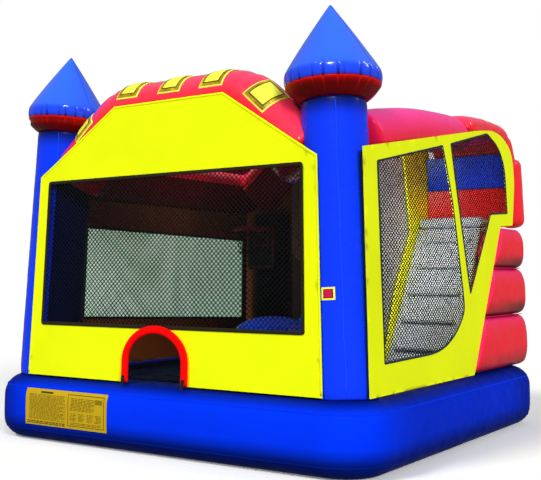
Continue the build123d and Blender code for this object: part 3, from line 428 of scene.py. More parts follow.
def from_data(name, verts, faces, uvs=None, smooth=True, outward=True):
    """An object from vertices, faces and a coordinate in metres for each face corner."""
    mesh = bpy.data.meshes.new(name)
    mesh.from_pydata([tuple(v) for v in verts], [], faces)
    if uvs:
        layer = mesh.uv_layers.new(name="metres")
        layer.data.foreach_set("uv", [c for uv in uvs for c in uv])
    if outward:
        bm = bmesh.new()
        bm.from_mesh(mesh)
        bmesh.ops.recalc_face_normals(bm, faces=bm.faces)
        bm.to_mesh(mesh)
        bm.free()
    mesh.polygons.foreach_set("use_smooth", [smooth] * len(mesh.polygons))
    obj = bpy.data.objects.new(name, mesh)
    bpy.context.scene.collection.objects.link(obj)
    return obj


def shade(obj, values):
    """Stores one value a vertex for the material: 1 in creases and under swells."""
    layer = obj.data.attributes.new("shade", "FLOAT", "POINT")
    layer.data.foreach_set("value", list(values))


def oval(wide, deep):
    """The section of a sweep: an ellipse with these two radii."""
    return lambda s, t, a: (wide * math.cos(a), deep * math.sin(a))


def puffed(value, power):
    """A sine or cosine drawn towards its ends, which squares a round section."""
    return math.copysign(abs(value) ** power, value)


def taut(flat, rests_on, **more):
    return dict(flat=flat, held="stretched", rests_on=rests_on, **more)


def laid(flat, rests_on):
    return dict(flat=flat, held="laid", rests_on=[rests_on])


def lengths(points):
    """Running length along a list of points."""
    total = [0.0]
    for a, b in zip(points, points[1:]):
        total.append(total[-1] + (Vector(b) - Vector(a)).length)
    return total


def skin(name, rows, wrap=True, caps=True, smooth=True):
    """A quad skin through rows of points, with coordinates in metres; caps close its two ends."""
    n, m = len(rows[0]), len(rows)
    verts = [p for row in rows for p in row]
    middle = rows[m // 2]
    across = lengths(middle + middle[:1]) if wrap else lengths(middle)
    along = lengths([row[0] for row in rows])
    faces, uvs = [], []
    for j in range(m - 1):
        for i in range(n if wrap else n - 1):
            k = (i + 1) % n
            faces.append((j * n + i, j * n + k, (j + 1) * n + k, (j + 1) * n + i))
            uvs += [(across[i], along[j]), (across[i + 1], along[j]),
                    (across[i + 1], along[j + 1]), (across[i], along[j + 1])]
    if caps and wrap:
        for j in (0, m - 1):
            centre = sum(rows[j], Vector()) / n
            verts.append(centre)
            c = len(verts) - 1
            for i in range(n):
                faces.append((c, j * n + i, j * n + (i + 1) % n))
                uvs += [(0, along[j]), (across[i], along[j]), (across[i + 1], along[j])]
    return from_data(name, verts, faces, uvs, smooth)


def curve_through(points, steps=10):
    """A smooth line through points of any dimension (Catmull-Rom)."""
    pts = [Vector(p) for p in points]
    pts = [2 * pts[0] - pts[1]] + pts + [2 * pts[-1] - pts[-2]]
    out = []
    for a, b, c, d in zip(pts, pts[1:], pts[2:], pts[3:]):
        for i in range(steps):
            t = i / steps
            out.append(0.5 * (2 * b + (c - a) * t + (2 * a - 5 * b + 4 * c - d) * t * t
                              + (3 * b - a - 3 * c + d) * t ** 3))
    out.append(pts[-2])
    return out


def spaced(points, step, closed=False):
    """The same line with points at most step apart, its corners kept."""
    pts = [Vector(p) for p in points]
    if closed:
        pts = pts + pts[:1]
    out = []
    for a, b in zip(pts, pts[1:]):
        count = max(1, math.ceil((b - a).length / step))
        out += [a.lerp(b, i / count) for i in range(count)]
    return out if closed else out + [pts[-1]]


def rounded(points, radii, closed=True, steps=6):
    """Corners replaced by quadratic curves; radii gives each corner's reach."""
    pts = [Vector(p) for p in points]
    out = []
    for i, (p, r) in enumerate(zip(pts, radii)):
        if r <= 0 or (not closed and i in (0, len(pts) - 1)):
            out.append(p)
            continue
        before, after = pts[i - 1], pts[(i + 1) % len(pts)]
        a = p + (before - p).normalized() * min(r, (before - p).length * 0.48)
        b = p + (after - p).normalized() * min(r, (after - p).length * 0.48)
        out += [a * (1 - t) ** 2 + p * (2 * t * (1 - t)) + b * t * t
                for t in (k / steps for k in range(steps + 1))]
    return out


def sweep(name, path, section, sides=40, up=(0, 0, 1), closed=False, caps=True, smooth=True):
    """Rings round a path. section(s, total, angle) gives (sideways, upwards) in metres."""
    pts = [Vector(p) for p in path]
    run = lengths(pts + pts[:1] if closed else pts)
    rows, count = [], len(pts)
    for i, p in enumerate(pts):
        before = pts[i - 1] if (i or closed) else p
        after = pts[(i + 1) % count] if (i < count - 1 or closed) else p
        ahead = (after - before).normalized()
        side = ahead.cross(Vector(up)).normalized()
        top = side.cross(ahead)
        row = []
        for k in range(sides):
            u, v = section(run[i], run[-1], 2 * math.pi * k / sides)
            row.append(p + side * u + top * v)
        rows.append(row)
    if closed:
        rows.append(list(rows[0]))
    return skin(name, rows, caps=caps and not closed, smooth=smooth)


def bump_at(x, centre, width):
    return math.exp(-((x - centre) / width) ** 2)


def ripple(p, size, stretch=(1, 1, 1)):
    return noise.noise(Vector((p[0] * stretch[0], p[1] * stretch[1], p[2] * stretch[2])) / size)


def end_round(s, total, reach, power=2.4):
    """1 along a tube's middle, falling to 0 over reach at its ends, as an inflated end does."""
    d = min(s, total - s)
    if d >= reach:
        return 1.0
    return max(1 - (1 - d / reach) ** power, 0) ** (1 / power)


def air_tube(name, path, radius, sides=44, step=0.03, reach=0.07, creases=(), swell=0.0,
             folds=0.004, flat=1.0):
    """An inflated tube: rounded ends with puckers, a slack belly, and creases round it at some lengths.

    flat is how far its underside reaches down, where it lies on a sheet."""
    pts = spaced(path, step)
    total = lengths(pts)[-1]
    # rows crowd together at the ends, so that they close in a round
    line = []
    for k in (0.0, 0.05, 0.15, 0.3, 0.5, 0.75):
        line.append(pts[0].lerp(pts[0] + (pts[1] - pts[0]).normalized() * reach, k))
    line += [p for p in pts if reach < lengths_to(pts, p) < total - reach]
    back = (pts[-2] - pts[-1]).normalized()
    line += [pts[-1] + back * reach * k for k in (0.75, 0.5, 0.3, 0.15, 0.05, 0.0)]
    phase = rng.uniform(0, 9)

    def section(s, length, a):
        r = radius * max(end_round(s, length, reach), 0.12)
        r *= 1 + swell * math.sin(math.pi * s / length)
        for c in creases:
            r -= radius * 0.035 * bump_at(s, c, 0.022)
            r += folds * math.sin(17 * a + phase) * bump_at(s, c, 0.07)
        edge = min(s, length - s)
        r += folds * math.sin(24 * a + phase) * math.exp(-edge / 0.06) * min(edge / 0.02, 1)
        r += 0.0025 * ripple((math.cos(a), math.sin(a), s * 3 + phase), 0.5)
        return r * math.cos(a), r * math.sin(a) * (flat if math.sin(a) < 0 else 1)
    return sweep(name, line, section, sides)


def lengths_to(points, point):
    """How far along a polyline one of its own points is."""
    total = 0.0
    for a, b in zip(points, points[1:]):
        if a is point:
            return total
        total += (b - a).length
    return total


def inside(p, polygon):
    """Even-odd test in the plane."""
    hit = False
    for a, b in zip(polygon, polygon[1:] + polygon[:1]):
        if (a[1] > p[1]) != (b[1] > p[1]):
            if p[0] < a[0] + (p[1] - a[1]) / (b[1] - a[1]) * (b[0] - a[0]):
                hit = not hit
    return hit


def far_from(p, polygon, gap):
    for a, b in zip(polygon, polygon[1:] + polygon[:1]):
        ab, ap = Vector(b) - Vector(a), Vector(p) - Vector(a)
        t = min(max(ap.dot(ab) / max(ab.dot(ab), 1e-12), 0), 1)
        if (ap - ab * t).length < gap:
            return False
    return True


def area_of(polygon):
    return abs(sum(a[0] * b[1] - b[0] * a[1] for a, b in zip(polygon, polygon[1:] + polygon[:1]))) / 2


def cloth(name, outline, holes, place, relief=None, thick=0.005, step=0.06, inner_look=False):
    """A sheet with holes, meshed finely and laid by place(u, v, out); relief lifts it off its plane."""
    loops = [spaced(loop, step, closed=True) for loop in [outline, *holes]]
    points, edges = [], []
    for loop in loops:
        first = len(points)
        points += [Vector(p[:2]) for p in loop]
        edges += [(first + i, first + (i + 1) % len(loop)) for i in range(len(loop))]
    us, vs = [p[0] for p in outline], [p[1] for p in outline]
    outer, cut = [tuple(p[:2]) for p in outline], [[tuple(p[:2]) for p in h] for h in holes]
    rows = int((max(vs) - min(vs)) / step) + 1
    for j in range(rows):
        v = min(vs) + (j + 0.5) * step
        for i in range(int((max(us) - min(us)) / step) + 1):
            p = (min(us) + (i + 0.25 + 0.5 * (j % 2)) * step, v)
            if inside(p, outer) and not any(inside(p, h) for h in cut):
                if far_from(p, outer, step * 0.45) and all(far_from(p, h, step * 0.45) for h in cut):
                    points.append(Vector(p))
    flat, _, tris, *_ = delaunay_2d_cdt(points, edges, [], 0, 1e-6)
    faces = []
    for tri in tris:
        c = sum((flat[i] for i in tri), Vector((0, 0))) / len(tri)
        if inside(c, outer) and not any(inside(c, h) for h in cut):
            faces.append(tuple(tri))
    used = sorted({i for f in faces for i in f})
    index = {old: new for new, old in enumerate(used)}
    faces = [tuple(index[i] for i in f) for f in faces]
    flat = [flat[i] for i in used]
    verts = [place(p[0], p[1], relief(p[0], p[1]) if relief else 0.0) for p in flat]
    a, b, c = (verts[i] for i in faces[0])
    out = place(*flat[faces[0][0]], 0.1) - place(*flat[faces[0][0]], 0)
    if (b - a).cross(c - a).dot(out) < 0:
        faces = [f[::-1] for f in faces]
    n = len(flat)
    lift = [relief(p[0], p[1]) if relief else 0.0 for p in flat]
    verts = [place(p[0], p[1], h + side * thick / 2) for side in (1, -1) for p, h in zip(flat, lift)]
    back = [tuple(i + n for i in f[::-1]) for f in faces]
    directed = {(f[i - 1], f[i]) for f in faces for i in range(len(f))}
    rim = [(a, a + n, b + n, b) for a, b in directed if (b, a) not in directed]
    shell = faces + back + sorted(rim)
    uvs = [tuple(flat[i % n]) for f in shell for i in f]
    obj = from_data(name, verts, shell, uvs, outward=False)
    edge = {frozenset(pair) for a, c, d, b in rim for pair in ((a, b), (c, d))}
    for e in obj.data.edges:
        e.use_edge_sharp = frozenset(e.vertices) in edge
    # inner_look: the back faces take the second material, which the walls and roof use for painted shade
    # inside the room
    for k, poly in enumerate(obj.data.polygons):
        poly.material_index = 1 if inner_look and len(faces) <= k < 2 * len(faces) else 0
    return obj


def ribbon(name, points, place, width, lift, height, closed=True, sides=10):
    """A rounded strip laid along a line of a wall: bindings, hems and seams."""
    pts = spaced([Vector(p[:2]) for p in points], 0.04, closed)
    count, rows = len(pts), []
    for i, p in enumerate(pts):
        before = pts[i - 1] if (i or closed) else p
        after = pts[(i + 1) % count] if (i < count - 1 or closed) else p
        d = (after - before).normalized()
        n = Vector((-d[1], d[0]))
        row = []
        for k in range(sides):
            a = 2 * math.pi * k / sides
            c, s = math.cos(a), math.sin(a)
            across = puffed(c, 0.7) * width / 2
            row.append(place(p[0] + n[0] * across, p[1] + n[1] * across, lift + puffed(s, 0.7) * height / 2))
        rows.append(row)
    if closed:
        rows.append(list(rows[0]))
    return skin(name, rows, caps=not closed)


def join(objects, name):
    """One object from several meshes, its materials kept in order."""
    bm, mats = bmesh.new(), []
    for o in objects:
        start = len(bm.faces)
        bm.from_mesh(o.data)
        bm.faces.ensure_lookup_table()
        slots = [m for m in o.data.materials]
        for m in slots:
            if m not in mats:
                mats.append(m)
        for f in bm.faces[start:]:
            f.material_index = mats.index(slots[f.material_index]) if slots else 0
        bpy.data.objects.remove(o)
    mesh = bpy.data.meshes.new(name)
    bm.to_mesh(mesh)
    bm.free()
    for m in mats:
        mesh.materials.append(m)
    obj = bpy.data.objects.new(name, mesh)
    bpy.context.scene.collection.objects.link(obj)
    return obj


def net(name, outline, place, cell=(0.050, 0.046), thread=0.0046, depth=1.6):
    """A net with diamond cells of a width and height, cut to the outline, a knot at each crossing.

    depth is how deep its strands are for their width: flat ones are woven into each other, with no knots."""
    poly = [tuple(p[:2]) for p in outline]
    half = Vector((cell[0] / 2, cell[1] / 2))
    pitch = 2 * half.x * half.y / half.length
    verts, faces = [], []

    def strand(a, b, lift):
        d = (b - a).normalized()
        n = Vector((-d[1], d[0])) * thread / 2
        base = len(verts)
        for p in (a, b):
            for s, w in ((1, -1), (1, 1), (-1, 1), (-1, -1)):
                verts.append(place(p[0] + n[0] * s, p[1] + n[1] * s, lift + w * depth * thread / 2))
        for k in range(4):
            j = (k + 1) % 4
            faces.append((base + k, base + j, base + 4 + j, base + 4 + k))
        faces.extend([(base + 3, base + 2, base + 1, base), (base + 4, base + 5, base + 6, base + 7)])

    def knot(p):
        base, r = len(verts), thread * 0.95
        for u, v, w in ((r, 0, 0), (0, r, 0), (-r, 0, 0), (0, -r, 0), (0, 0, r), (0, 0, -r)):
            verts.append(place(p[0] + u, p[1] + v, w))
        for k in range(4):
            j = (k + 1) % 4
            faces.append((base + k, base + j, base + 4))
            faces.append((base + j, base + k, base + 5))

    for sign in (1, -1):
        direction = Vector((half.x, sign * half.y)).normalized()
        across = Vector((-direction.y, direction.x))
        offsets = [across.dot(Vector(p)) for p in poly]
        for i in range(math.ceil(min(offsets) / pitch), math.floor(max(offsets) / pitch) + 1):
            c, hits = i * pitch, []
            for a, b in zip(poly, poly[1:] + poly[:1]):
                da, db = across.dot(Vector(a)) - c, across.dot(Vector(b)) - c
                if (da > 0) != (db > 0):
                    hits.append(Vector(a).lerp(Vector(b), da / (da - db)))
            hits.sort(key=lambda p: direction.dot(p))
            for a, b in zip(hits[::2], hits[1::2]):
                if (b - a).length > 0.01:
                    strand(a, b, sign * thread * 0.3 * depth)
    if depth < 1:
        return from_data(name, verts, faces, smooth=True, outward=False)
    us, vs = [p[0] for p in poly], [p[1] for p in poly]
    for j in range(math.floor(min(vs) / half.y), math.ceil(max(vs) / half.y) + 1):
        for i in range(math.floor(min(us) / half.x), math.ceil(max(us) / half.x) + 1):
            p = (i * half.x, j * half.y)
            if (i + j) % 2 == 0 and inside(p, poly):
                knot(p)
    return from_data(name, verts, faces, smooth=True, outward=False)


# ---- the base ------------------------------------------------------------------------------------
def base_out(z):
    """How far the base's skin stands out at a height, beyond its half width."""
    t = 2 * z / FLOOR - 1
    belly = 0.010 * (1 - t * t)
    edge = min(z, FLOOR - z)
    inset = 0.0 if edge >= BULGE else BULGE - math.sqrt(max(BULGE ** 2 - (BULGE - edge) ** 2, 0))
    return belly - inset


def base_path():
    """(place on the outer face, outward direction) round the base, with close steps at the corners."""
    out = []
    for quarter in range(4):
        sx, sy = ((1, -1), (1, 1), (-1, 1), (-1, -1))[quarter]
        centre = Vector((sx * INNER_X, sy * INNER_Y, 0))
        start = math.radians(-90 + 90 * quarter)
        for k in range(13):
            a = start + math.radians(90) * k / 12
            d = Vector((math.cos(a), math.sin(a), 0))
            out.append((centre + d * CORNER, d))
        nxt = ((1, 1), (-1, 1), (-1, -1), (1, -1))[quarter]
        far = Vector((nxt[0] * INNER_X, nxt[1] * INNER_Y, 0))
        d = Vector((math.cos(start + math.pi / 2), math.sin(start + math.pi / 2), 0))
        count = 56
        for k in range(1, count):
            out.append((centre.lerp(far, k / count) + d * CORNER, d))
    return out


def base_section():
    """The tube's section as (distance inwards, height), from its inner top round to its inner foot."""
    pts = [(RING_W - 0.004, 0.05), (RING_W - 0.001, FLOOR - 0.06), (RING_W - 0.012, FLOOR - 0.024),
           (RING_W - 0.035, FLOOR - 0.004)]
    pts += [(d, FLOOR) for d in (RING_W - 0.08, 0.32, 0.26)]
    for k in range(0, 19):
        a = math.radians(90 - 5 * k)
        pts.append((BULGE - BULGE * math.cos(a), FLOOR - BULGE + BULGE * math.sin(a)))
    pts += [(0, z) for z in (0.41, 0.37, 0.33, 0.29, 0.25)]
    for k in range(0, 10):
        a = math.radians(-10 * k)
        pts.append((BULGE - BULGE * math.cos(a), BULGE + BULGE * math.sin(a)))
    pts += [(0.3, 0.0), (RING_W - 0.02, 0.0)]
    return pts


def ramp01(value, low, high):
    """0 below low, 1 above high, smooth between."""
    t = min(max((value - low) / (high - low), 0), 1)
    return t * t * (3 - 2 * t)


def base_shade(p):
    """Painted shade on the base: darker towards the far end of each side."""
    left = ramp01(-p.x, 1.45, 2.20)
    side = 0.45 * ramp01(p.y, -2.0, -1.1) + 0.45 * ramp01(p.y, 1.0, 2.0)
    return min(0.9 * left + side, 0.95)


def make_base():
    section, rows = base_section(), []
    for place, d in base_path():
        seam = abs(place.x) if abs(d.y) > 0.99 else 9
        along = {"rear": place.x if d.y > 0.99 else 9, "left": place.y if d.x < -0.99 else 9}
        near = max(math.exp(-((along[face] - at) / 0.075) ** 2) for face, at in ANCHORS.values())
        row = []
        for inward, z in section:
            t = 2 * z / FLOOR - 1
            out = -inward + (0.010 * (1 - t * t) if inward < 0.3 else 0)
            p = place + d * out + Vector((0, 0, z))
            if inward < 0.35 and z > 0.02:
                out_of_top = min(max((BULGE * 1.2 - inward) / 0.05, 0), 1) if z > FLOOR - 0.01 else 1
                shift = 0.005 * ripple(p, 0.6, (1, 1, 2.0)) + 0.0008 * ripple(p, 0.15, (1, 1, 0.6))
                shift -= 0.004 * bump_at(seam, 0, 0.012) + 0.018 * near * math.exp(-((z - 0.262) / 0.07) ** 2)
                p = p + d * shift * out_of_top
            row.append(p)
        rows.append(row)
    rows.append(list(rows[0]))
    obj = skin("base_tube", rows, wrap=True, caps=False)
    shade(obj, [base_shade(v.co) for v in obj.data.vertices])
    keep(obj, "base", ["base_ring"])
    make_base_seams()


def make_base_seams():
    """Welded seam tapes: two rings round the base, one near its foot and one under its top edge."""
    path, parts = base_path(), []
    for z in (0.118, 0.545):
        line = [p + d * (base_out(z) + 0.0012) + Vector((0, 0, z)) for p, d in path]
        parts.append(sweep("seam", line, oval(0.0022, 0.009), 8, closed=True))
    keep(join(parts, "base_seams"), "base")


def make_floor():
    """The bounce floor: a sewn mattress, its top drawn down in eight channels."""
    fx, fy = INNER_X - 0.002, INNER_Y - 0.002
    cols, rows_n = 128, 60
    rows = []
    for j in range(rows_n + 1):
        y = -fy + 2 * fy * j / rows_n
        row = []
        for i in range(cols + 1):
            x = -fx + 2 * fx * i / cols
            lane = (x + fx) / (2 * fx) * 8
            dip = 0.030 * (1 - abs(math.sin(math.pi * lane)) ** 0.5)
            edge = min(fx - abs(x), fy - abs(y))
            dip += 0.03 * max(1 - edge / 0.05, 0) ** 2
            row.append(Vector((x, y, FLOOR - 0.001 - dip - 0.003 * abs(ripple((x, y, 0), 0.2)))))
        foot_l, foot_r = Vector((-fx, y, 0.004)), Vector((fx, y, 0.004))
        rows.append([foot_l] + row + [foot_r])
    obj = skin("bounce_mattress", rows, wrap=True)
    keep(obj, "floor", ["bounce_floor", "floor_baffles"])


# ---- towers with their turrets -------------------------------------------------------------------
class TowerAxis:
    """A tower's leaning axis: at(radius, angle, height) gives a point."""

    def __init__(self, x, y):
        foot, tip = lean(x, y, FLOOR), lean(x, y, TIP_Z)
        if abs(x) == TOWER_X:
            tip.x = x * (1 - TOWER_LEAN * (TIP_Z - FLOOR))
        self.foot, self.up = foot, (tip - foot).normalized()
        turn = Vector((0, 0, 1)).rotation_difference(self.up)
        self.right, self.rear = turn @ Vector((1, 0, 0)), turn @ Vector((0, 1, 0))

    def at(self, r, a, z):
        return self.foot + self.up * (z - FLOOR) + (self.right * math.cos(a) + self.rear * math.sin(a)) * r


def taper(z):
    return 1 - LEAN_X * max(z - FLOOR, 0)


def base_top(p):
    """Height of the base's top under a point: it rounds down at the rim."""
    over = max(abs(p.x) - (BASE_X - BULGE), abs(p.y) - (BASE_Y - BULGE), 0)
    return FLOOR - (BULGE - math.sqrt(max(BULGE ** 2 - over ** 2, 0)))


def make_tower(side, x):
    axis = TowerAxis(x, TOWER_Y)
    top, sides = COLLAR_LOW - 0.004, 72
    heights = [FLOOR - 0.001, FLOOR + 0.012, FLOOR + 0.03]
    heights += [FLOOR + 0.06 + (top - FLOOR - 0.08) * k / 90 for k in range(91)] + [top]
    rows = []
    for z in heights:
        row = []
        for k in range(sides):
            a = 2 * math.pi * k / sides
            r = TOWER_R * taper(z)
            r -= 0.010 * math.exp(-(z - FLOOR) / 0.03)
            r -= 0.006 * bump_at(z, top, 0.02)
            # slack: shallow rings of wrinkles that come and go round the tower
            band = ripple((math.cos(a) * 0.6, math.sin(a) * 0.6, z * 9 + x), 0.5)
            r += 0.0022 * band * (0.4 + 0.6 * bump_at(z, 1.9, 0.8))
            r += 0.0018 * ripple((math.cos(a), math.sin(a), z * 0.8), 0.35)
            p = axis.at(r, a, z)
            if z < FLOOR + 0.02:
                p.z = min(p.z, base_top(p) + (z - FLOOR) + 0.002)
            row.append(p)
        rows.append(row)
    obj = skin(f"tower_skin_{side}", rows)
    # painted shadow of the collar: a dark band just under it
    shade(obj, [0.95 * math.exp(-((top - z) / 0.115) ** 2) for z in heights for _ in range(sides)] + [0, 1])
    keep(obj, ["blue", "navy"], [f"tower_front_{side}"])
    inward = -1 if x > 0 else 1
    for face in obj.data.polygons:          # painted shade: the side within the room, below 2.66 m, takes a near-black navy
        arm = face.center - axis.at(0, 0, face.center.z)
        if inward * arm.x > 0.55 * TOWER_R and arm.y > -0.8 * TOWER_R and face.center.z < 2.66:
            face.material_index = 1
    return axis


def pleats(seed, count):
    """Angle, reach and depth of the gathers along a turret's seam."""
    r = random.Random(seed)
    return [(2 * math.pi * (k + r.uniform(-0.28, 0.28)) / count, r.uniform(0.5, 1.0), r.uniform(0.45, 1.0))
            for k in range(count)]


def gathered(profile, axis, folds, seam_z, reach, depth, width=0.026, sides=312):
    """Rows of a turned shell with sharp gathers next to its seam, and how deep each point lies in one."""
    rows, depths = [], []
    for r, z in profile:
        row, d = [], abs(z - seam_z)
        for k in range(sides):
            a = 2 * math.pi * k / sides
            pull = 0.0
            for centre, far, deep in folds:
                gap = abs((a - centre + math.pi) % (2 * math.pi) - math.pi)
                if gap < 5 * width:
                    pull += deep * math.exp(-(gap / (width * (1 - 0.45 * min(d / reach, 1)))) ** 2) \
                        * max(1 - d / (reach * far), 0) ** 1.4
            puff = 0.30 * (1 - d / (reach * 1.2)) if d < reach * 1.2 else 0
            rr = r - depth * min(pull, 1.15) + depth * puff * 0.5
            rr += 0.0015 * ripple((math.cos(a), math.sin(a), z), 0.25) * min(r / 0.2, 1)
            row.append(axis.at(max(rr, 0.002), a, z))
            depths.append(min(pull * 1.25, 1) ** 1.5)
        rows.append(row)
    return rows, depths + [0, 0]


def make_turret(side, x, seed):
    axis = make_tower(side, x)
    seam_r, tip_z = CROWNS[side]
    low_r = TOWER_R * taper(COLLAR_LOW)
    line = [(low_r + r, COLLAR_LOW + z) for r, z in
            ((-0.004, -0.002), (0.012, 0.004), (0.045, 0.028), (0.082, 0.064))]
    line += [(seam_r - 0.018, COLLAR_LOW + 0.104), (seam_r - 0.001, SEAM_Z - 0.014),
             (seam_r - 0.002, SEAM_Z - 0.001)]
    collar = [(p[0], p[1]) for p in curve_through(line, 6)]
    line = [(seam_r + r, SEAM_Z + z) for r, z in
            ((-0.003, 0.001), (0.004, 0.020), (0.008, 0.055), (0.002, 0.105))]
    line += [(seam_r - 0.022, SHOULDER_Z + 0.012)]
    line += [(r * seam_r, SHOULDER_Z + t * (tip_z - SHOULDER_Z)) for r, t in
             ((0.864, 0.118), (0.743, 0.251), (0.495, 0.513), (0.248, 0.764), (0.070, 0.938), (0.007, 0.995))]
    cone = [(p[0], p[1]) for p in curve_through(line, 8)]
    folds = pleats(seed, 25)
    rows, depths = gathered(collar, axis, folds, SEAM_Z, 0.190, 0.018, width=0.016)
    collar_obj = skin(f"collar_{side}", rows)
    # painted light: a bright red band just under the seam, added to the folds' depths
    rim = [0.75 * math.exp(-((SEAM_Z - z) / 0.032) ** 2) for _, z in collar for _ in range(len(rows[0]))]
    rim += [0, 0]
    shade(collar_obj, [min(a + b, 1) for a, b in zip(depths, rim)])
    rows, depths = gathered(cone, axis, folds, SEAM_Z, 0.200, 0.032)
    cone_obj = skin(f"cone_{side}", rows)
    # painted shade in the gathers
    shade(cone_obj, depths)
    outwards = (0.9, -0.4, 0.2)
    weld = [axis.at(r + 0.001, math.radians(-8), z) for r, z in cone[1:-2:2]]
    strip = sweep(f"cone_weld_{side}", weld, oval(0.006, 0.002), 8, up=outwards)
    seam = [axis.at(seam_r - 0.001, 2 * math.pi * k / 120, SEAM_Z) for k in range(120)]
    cord = sweep(f"turret_seam_{side}", seam, oval(0.004, 0.004), 8, closed=True)
    # the tower weld, paler and wavy, is placed at -58 degrees, facing the camera, where it paints a highlight
    # streak
    weld = []
    for z in (FLOOR + 0.03 + (COLLAR_LOW - FLOOR - 0.05) * k / 60 for k in range(61)):
        a = math.radians(-58) + 0.012 * math.sin(9 * z) + 0.006 * math.sin(31 * z)
        weld.append(axis.at(TOWER_R * taper(z) + 0.0010, a, z))
    down = sweep(f"tower_weld_{side}", weld, oval(0.0035, 0.0016), 8, up=outwards)
    keep(down, "weld")
    keep(strip, "weld")
    keep(cord, "collar")
    return collar_obj, cone_obj


def make_towers():
    for side, x, seed in (("left", -TOWER_X, 11), ("right", TOWER_X, 23)):
        collar, cone = make_turret(side, x, seed)
        keep(collar, "collar", ["turret_collars"])
        keep(cone, "cone", ["turret_cones"])


# ---- beams along the wall tops -------------------------------------------------------------------
FRONT_Y, REAR_Y = -1.67, 1.67
EAVE_X, EAVE_Z, RIDGE_X, RIDGE_Z = 1.48, 2.70, 0.78, 3.30
GABLE = [lean(x, FRONT_Y, z) for x, z in
         ((-EAVE_X, EAVE_Z), (-RIDGE_X, RIDGE_Z), (RIDGE_X, RIDGE_Z), (EAVE_X, EAVE_Z))]


def bent_tube(name, corners, radius, bend=0.16, reach=0.05, sides=64, swell=0.0):
    """A tube with mitred bends: each bend pinches at its seam and puckers on its inside."""
    path = rounded(corners, [bend] * len(corners), closed=False, steps=8)
    path = spaced(path, 0.028)
    run = lengths(path)
    seams = [run[min(range(len(path)), key=lambda i: (path[i] - Vector(c)).length)] for c in corners[1:-1]]
    phase = rng.uniform(0, 9)

    def section(s, total, a):
        r = radius * max(end_round(s, total, reach), 0.2) * (1 + swell * math.sin(math.pi * s / total))
        for seam in seams:
            near = abs(s - seam)
            r -= 0.012 * math.exp(-(near / 0.018) ** 2)
            inner = 0.5 - 0.5 * math.sin(a)
            r += 0.0075 * inner * math.sin(26 * a + phase) * math.exp(-near / 0.10)
        edge = min(s, total - s)
        r += 0.007 * math.sin(21 * a + phase) * math.exp(-edge / 0.12) * min(edge / 0.03, 1)
        r += 0.0025 * ripple((math.cos(a), math.sin(a), s * 2 + phase), 0.4)
        return r * math.cos(a), r * math.sin(a)
    return sweep(name, path, section, sides)


def make_beams():
    front = bent_tube("front_gable_beam", GABLE, BEAM_R)
    keep(front, ["red", "red_inside"], ["front_beam"])
    left = air_tube("left_beam_skin", [lean(-1.8, -1.40, 2.815), lean(-1.8, 1.955, 2.82)], BEAM_R, sides=56,
                    reach=0.12, swell=0.01)
    keep(left, ["red", "red_inside"], ["left_beam"])
    inner_faces(left, Vector((1, -0.6, -0.5)))
    a, b = lean(1.8, -1.42, 2.852), lean(1.8, 0.75, 3.105)
    arc = [a.lerp(b, t) + Vector((0, 0, 0.045 * math.sin(math.pi * t))) for t in (k / 20 for k in range(21))]
    right = air_tube("right_beam_skin", arc, BEAM_R * 0.965, sides=56, reach=0.05, swell=0.03, flat=0.38)
    keep(right, ["pink", "red_inside"], ["right_beam"])
    inner_faces(right, Vector((-1, 0, -1)))
    path = [lean(x, REAR_Y, z) for x, z in ((-1.47, 2.745), (-0.85, 3.21), (1.015, 3.21))]
    rear = bent_tube("rear_gable_beam", path, BEAM_R - 0.002)
    keep(rear, ["red", "red_inside"], ["rear_beam"])
    inner_faces(rear, Vector((0, -1, -0.4)))
    inner_faces(front, Vector((0, 1, -0.3)))


def inner_faces(obj, towards):
    """Gives the faces that look into the room the piece's second material, a dark red that paints the room's
    shade.
    """
    towards.normalize()
    for face in obj.data.polygons:
        if face.normal.dot(towards) > 0.25 and face.normal.z < 0.1:
            face.material_index = 1


def beam_point(centre, along, angle, lift, s):
    """A point over a beam: angle from its front face towards its top, s along it."""
    d = along.normalized()
    front = Vector((0, -1, 0))
    up = d.cross(front).normalized()
    if up.z < 0:
        up = -up
    return centre + d * s + (front * math.cos(angle) + up * math.sin(angle)) * (BEAM_R + lift)


def make_brick(index, centre, along, width, angle0, angle1):
    """A gold block: pale rim, bevelled band, dark line and a raised pale centre."""
    high = (angle1 - angle0) * BEAM_R
    marks = ((0.0, 0.0015), (0.006, 0.007), (0.015, 0.008), (0.030, 0.011), (0.043, 0.0135), (0.046, 0.0115),
             (0.052, 0.0115), (0.055, 0.0145), (0.075, 0.0165))

    def stations(size):
        near = [m[0] for m in marks]
        middle = [near[-1] + (size - 2 * near[-1]) * k / 5 for k in range(1, 5)]
        return near + middle + [size - m for m in reversed(near)]

    def height(d):
        for (d0, h0), (d1, h1) in zip(marks, marks[1:]):
            if d <= d1:
                return h0 + (h1 - h0) * (d - d0) / (d1 - d0)
        return marks[-1][1]
    us, vs = stations(width), stations(high)
    verts, faces, looks = [], [], []
    for v in vs:
        for u in us:
            d = min(u, width - u, v, high - v)
            verts.append(beam_point(centre, along, angle0 + v / BEAM_R, height(d) + 0.001, u - width / 2))
    n = len(us)
    for j in range(len(vs) - 1):
        for i in range(n - 1):
            faces.append((j * n + i, j * n + i + 1, (j + 1) * n + i + 1, (j + 1) * n + i))
            mu, mv = (us[i] + us[i + 1]) / 2, (vs[j] + vs[j + 1]) / 2
            d = min(mu, width - mu, mv, high - mv)
            looks.append(0 if d < 0.014 else 1 if d < 0.0435 else 2 if d < 0.0545 else 3)
    obj = from_data(f"gold_brick_{index}", verts, faces, outward=False)
    middle = obj.data.polygons[len(looks) // 2]
    if middle.normal.dot(middle.center - centre) < 0:
        obj.data.flip_normals()
    obj.data.polygons.foreach_set("material_index", looks)
    keep(obj, ["gold_rim", "gold", "gold_line", "gold_centre"], ["gold_bricks"])


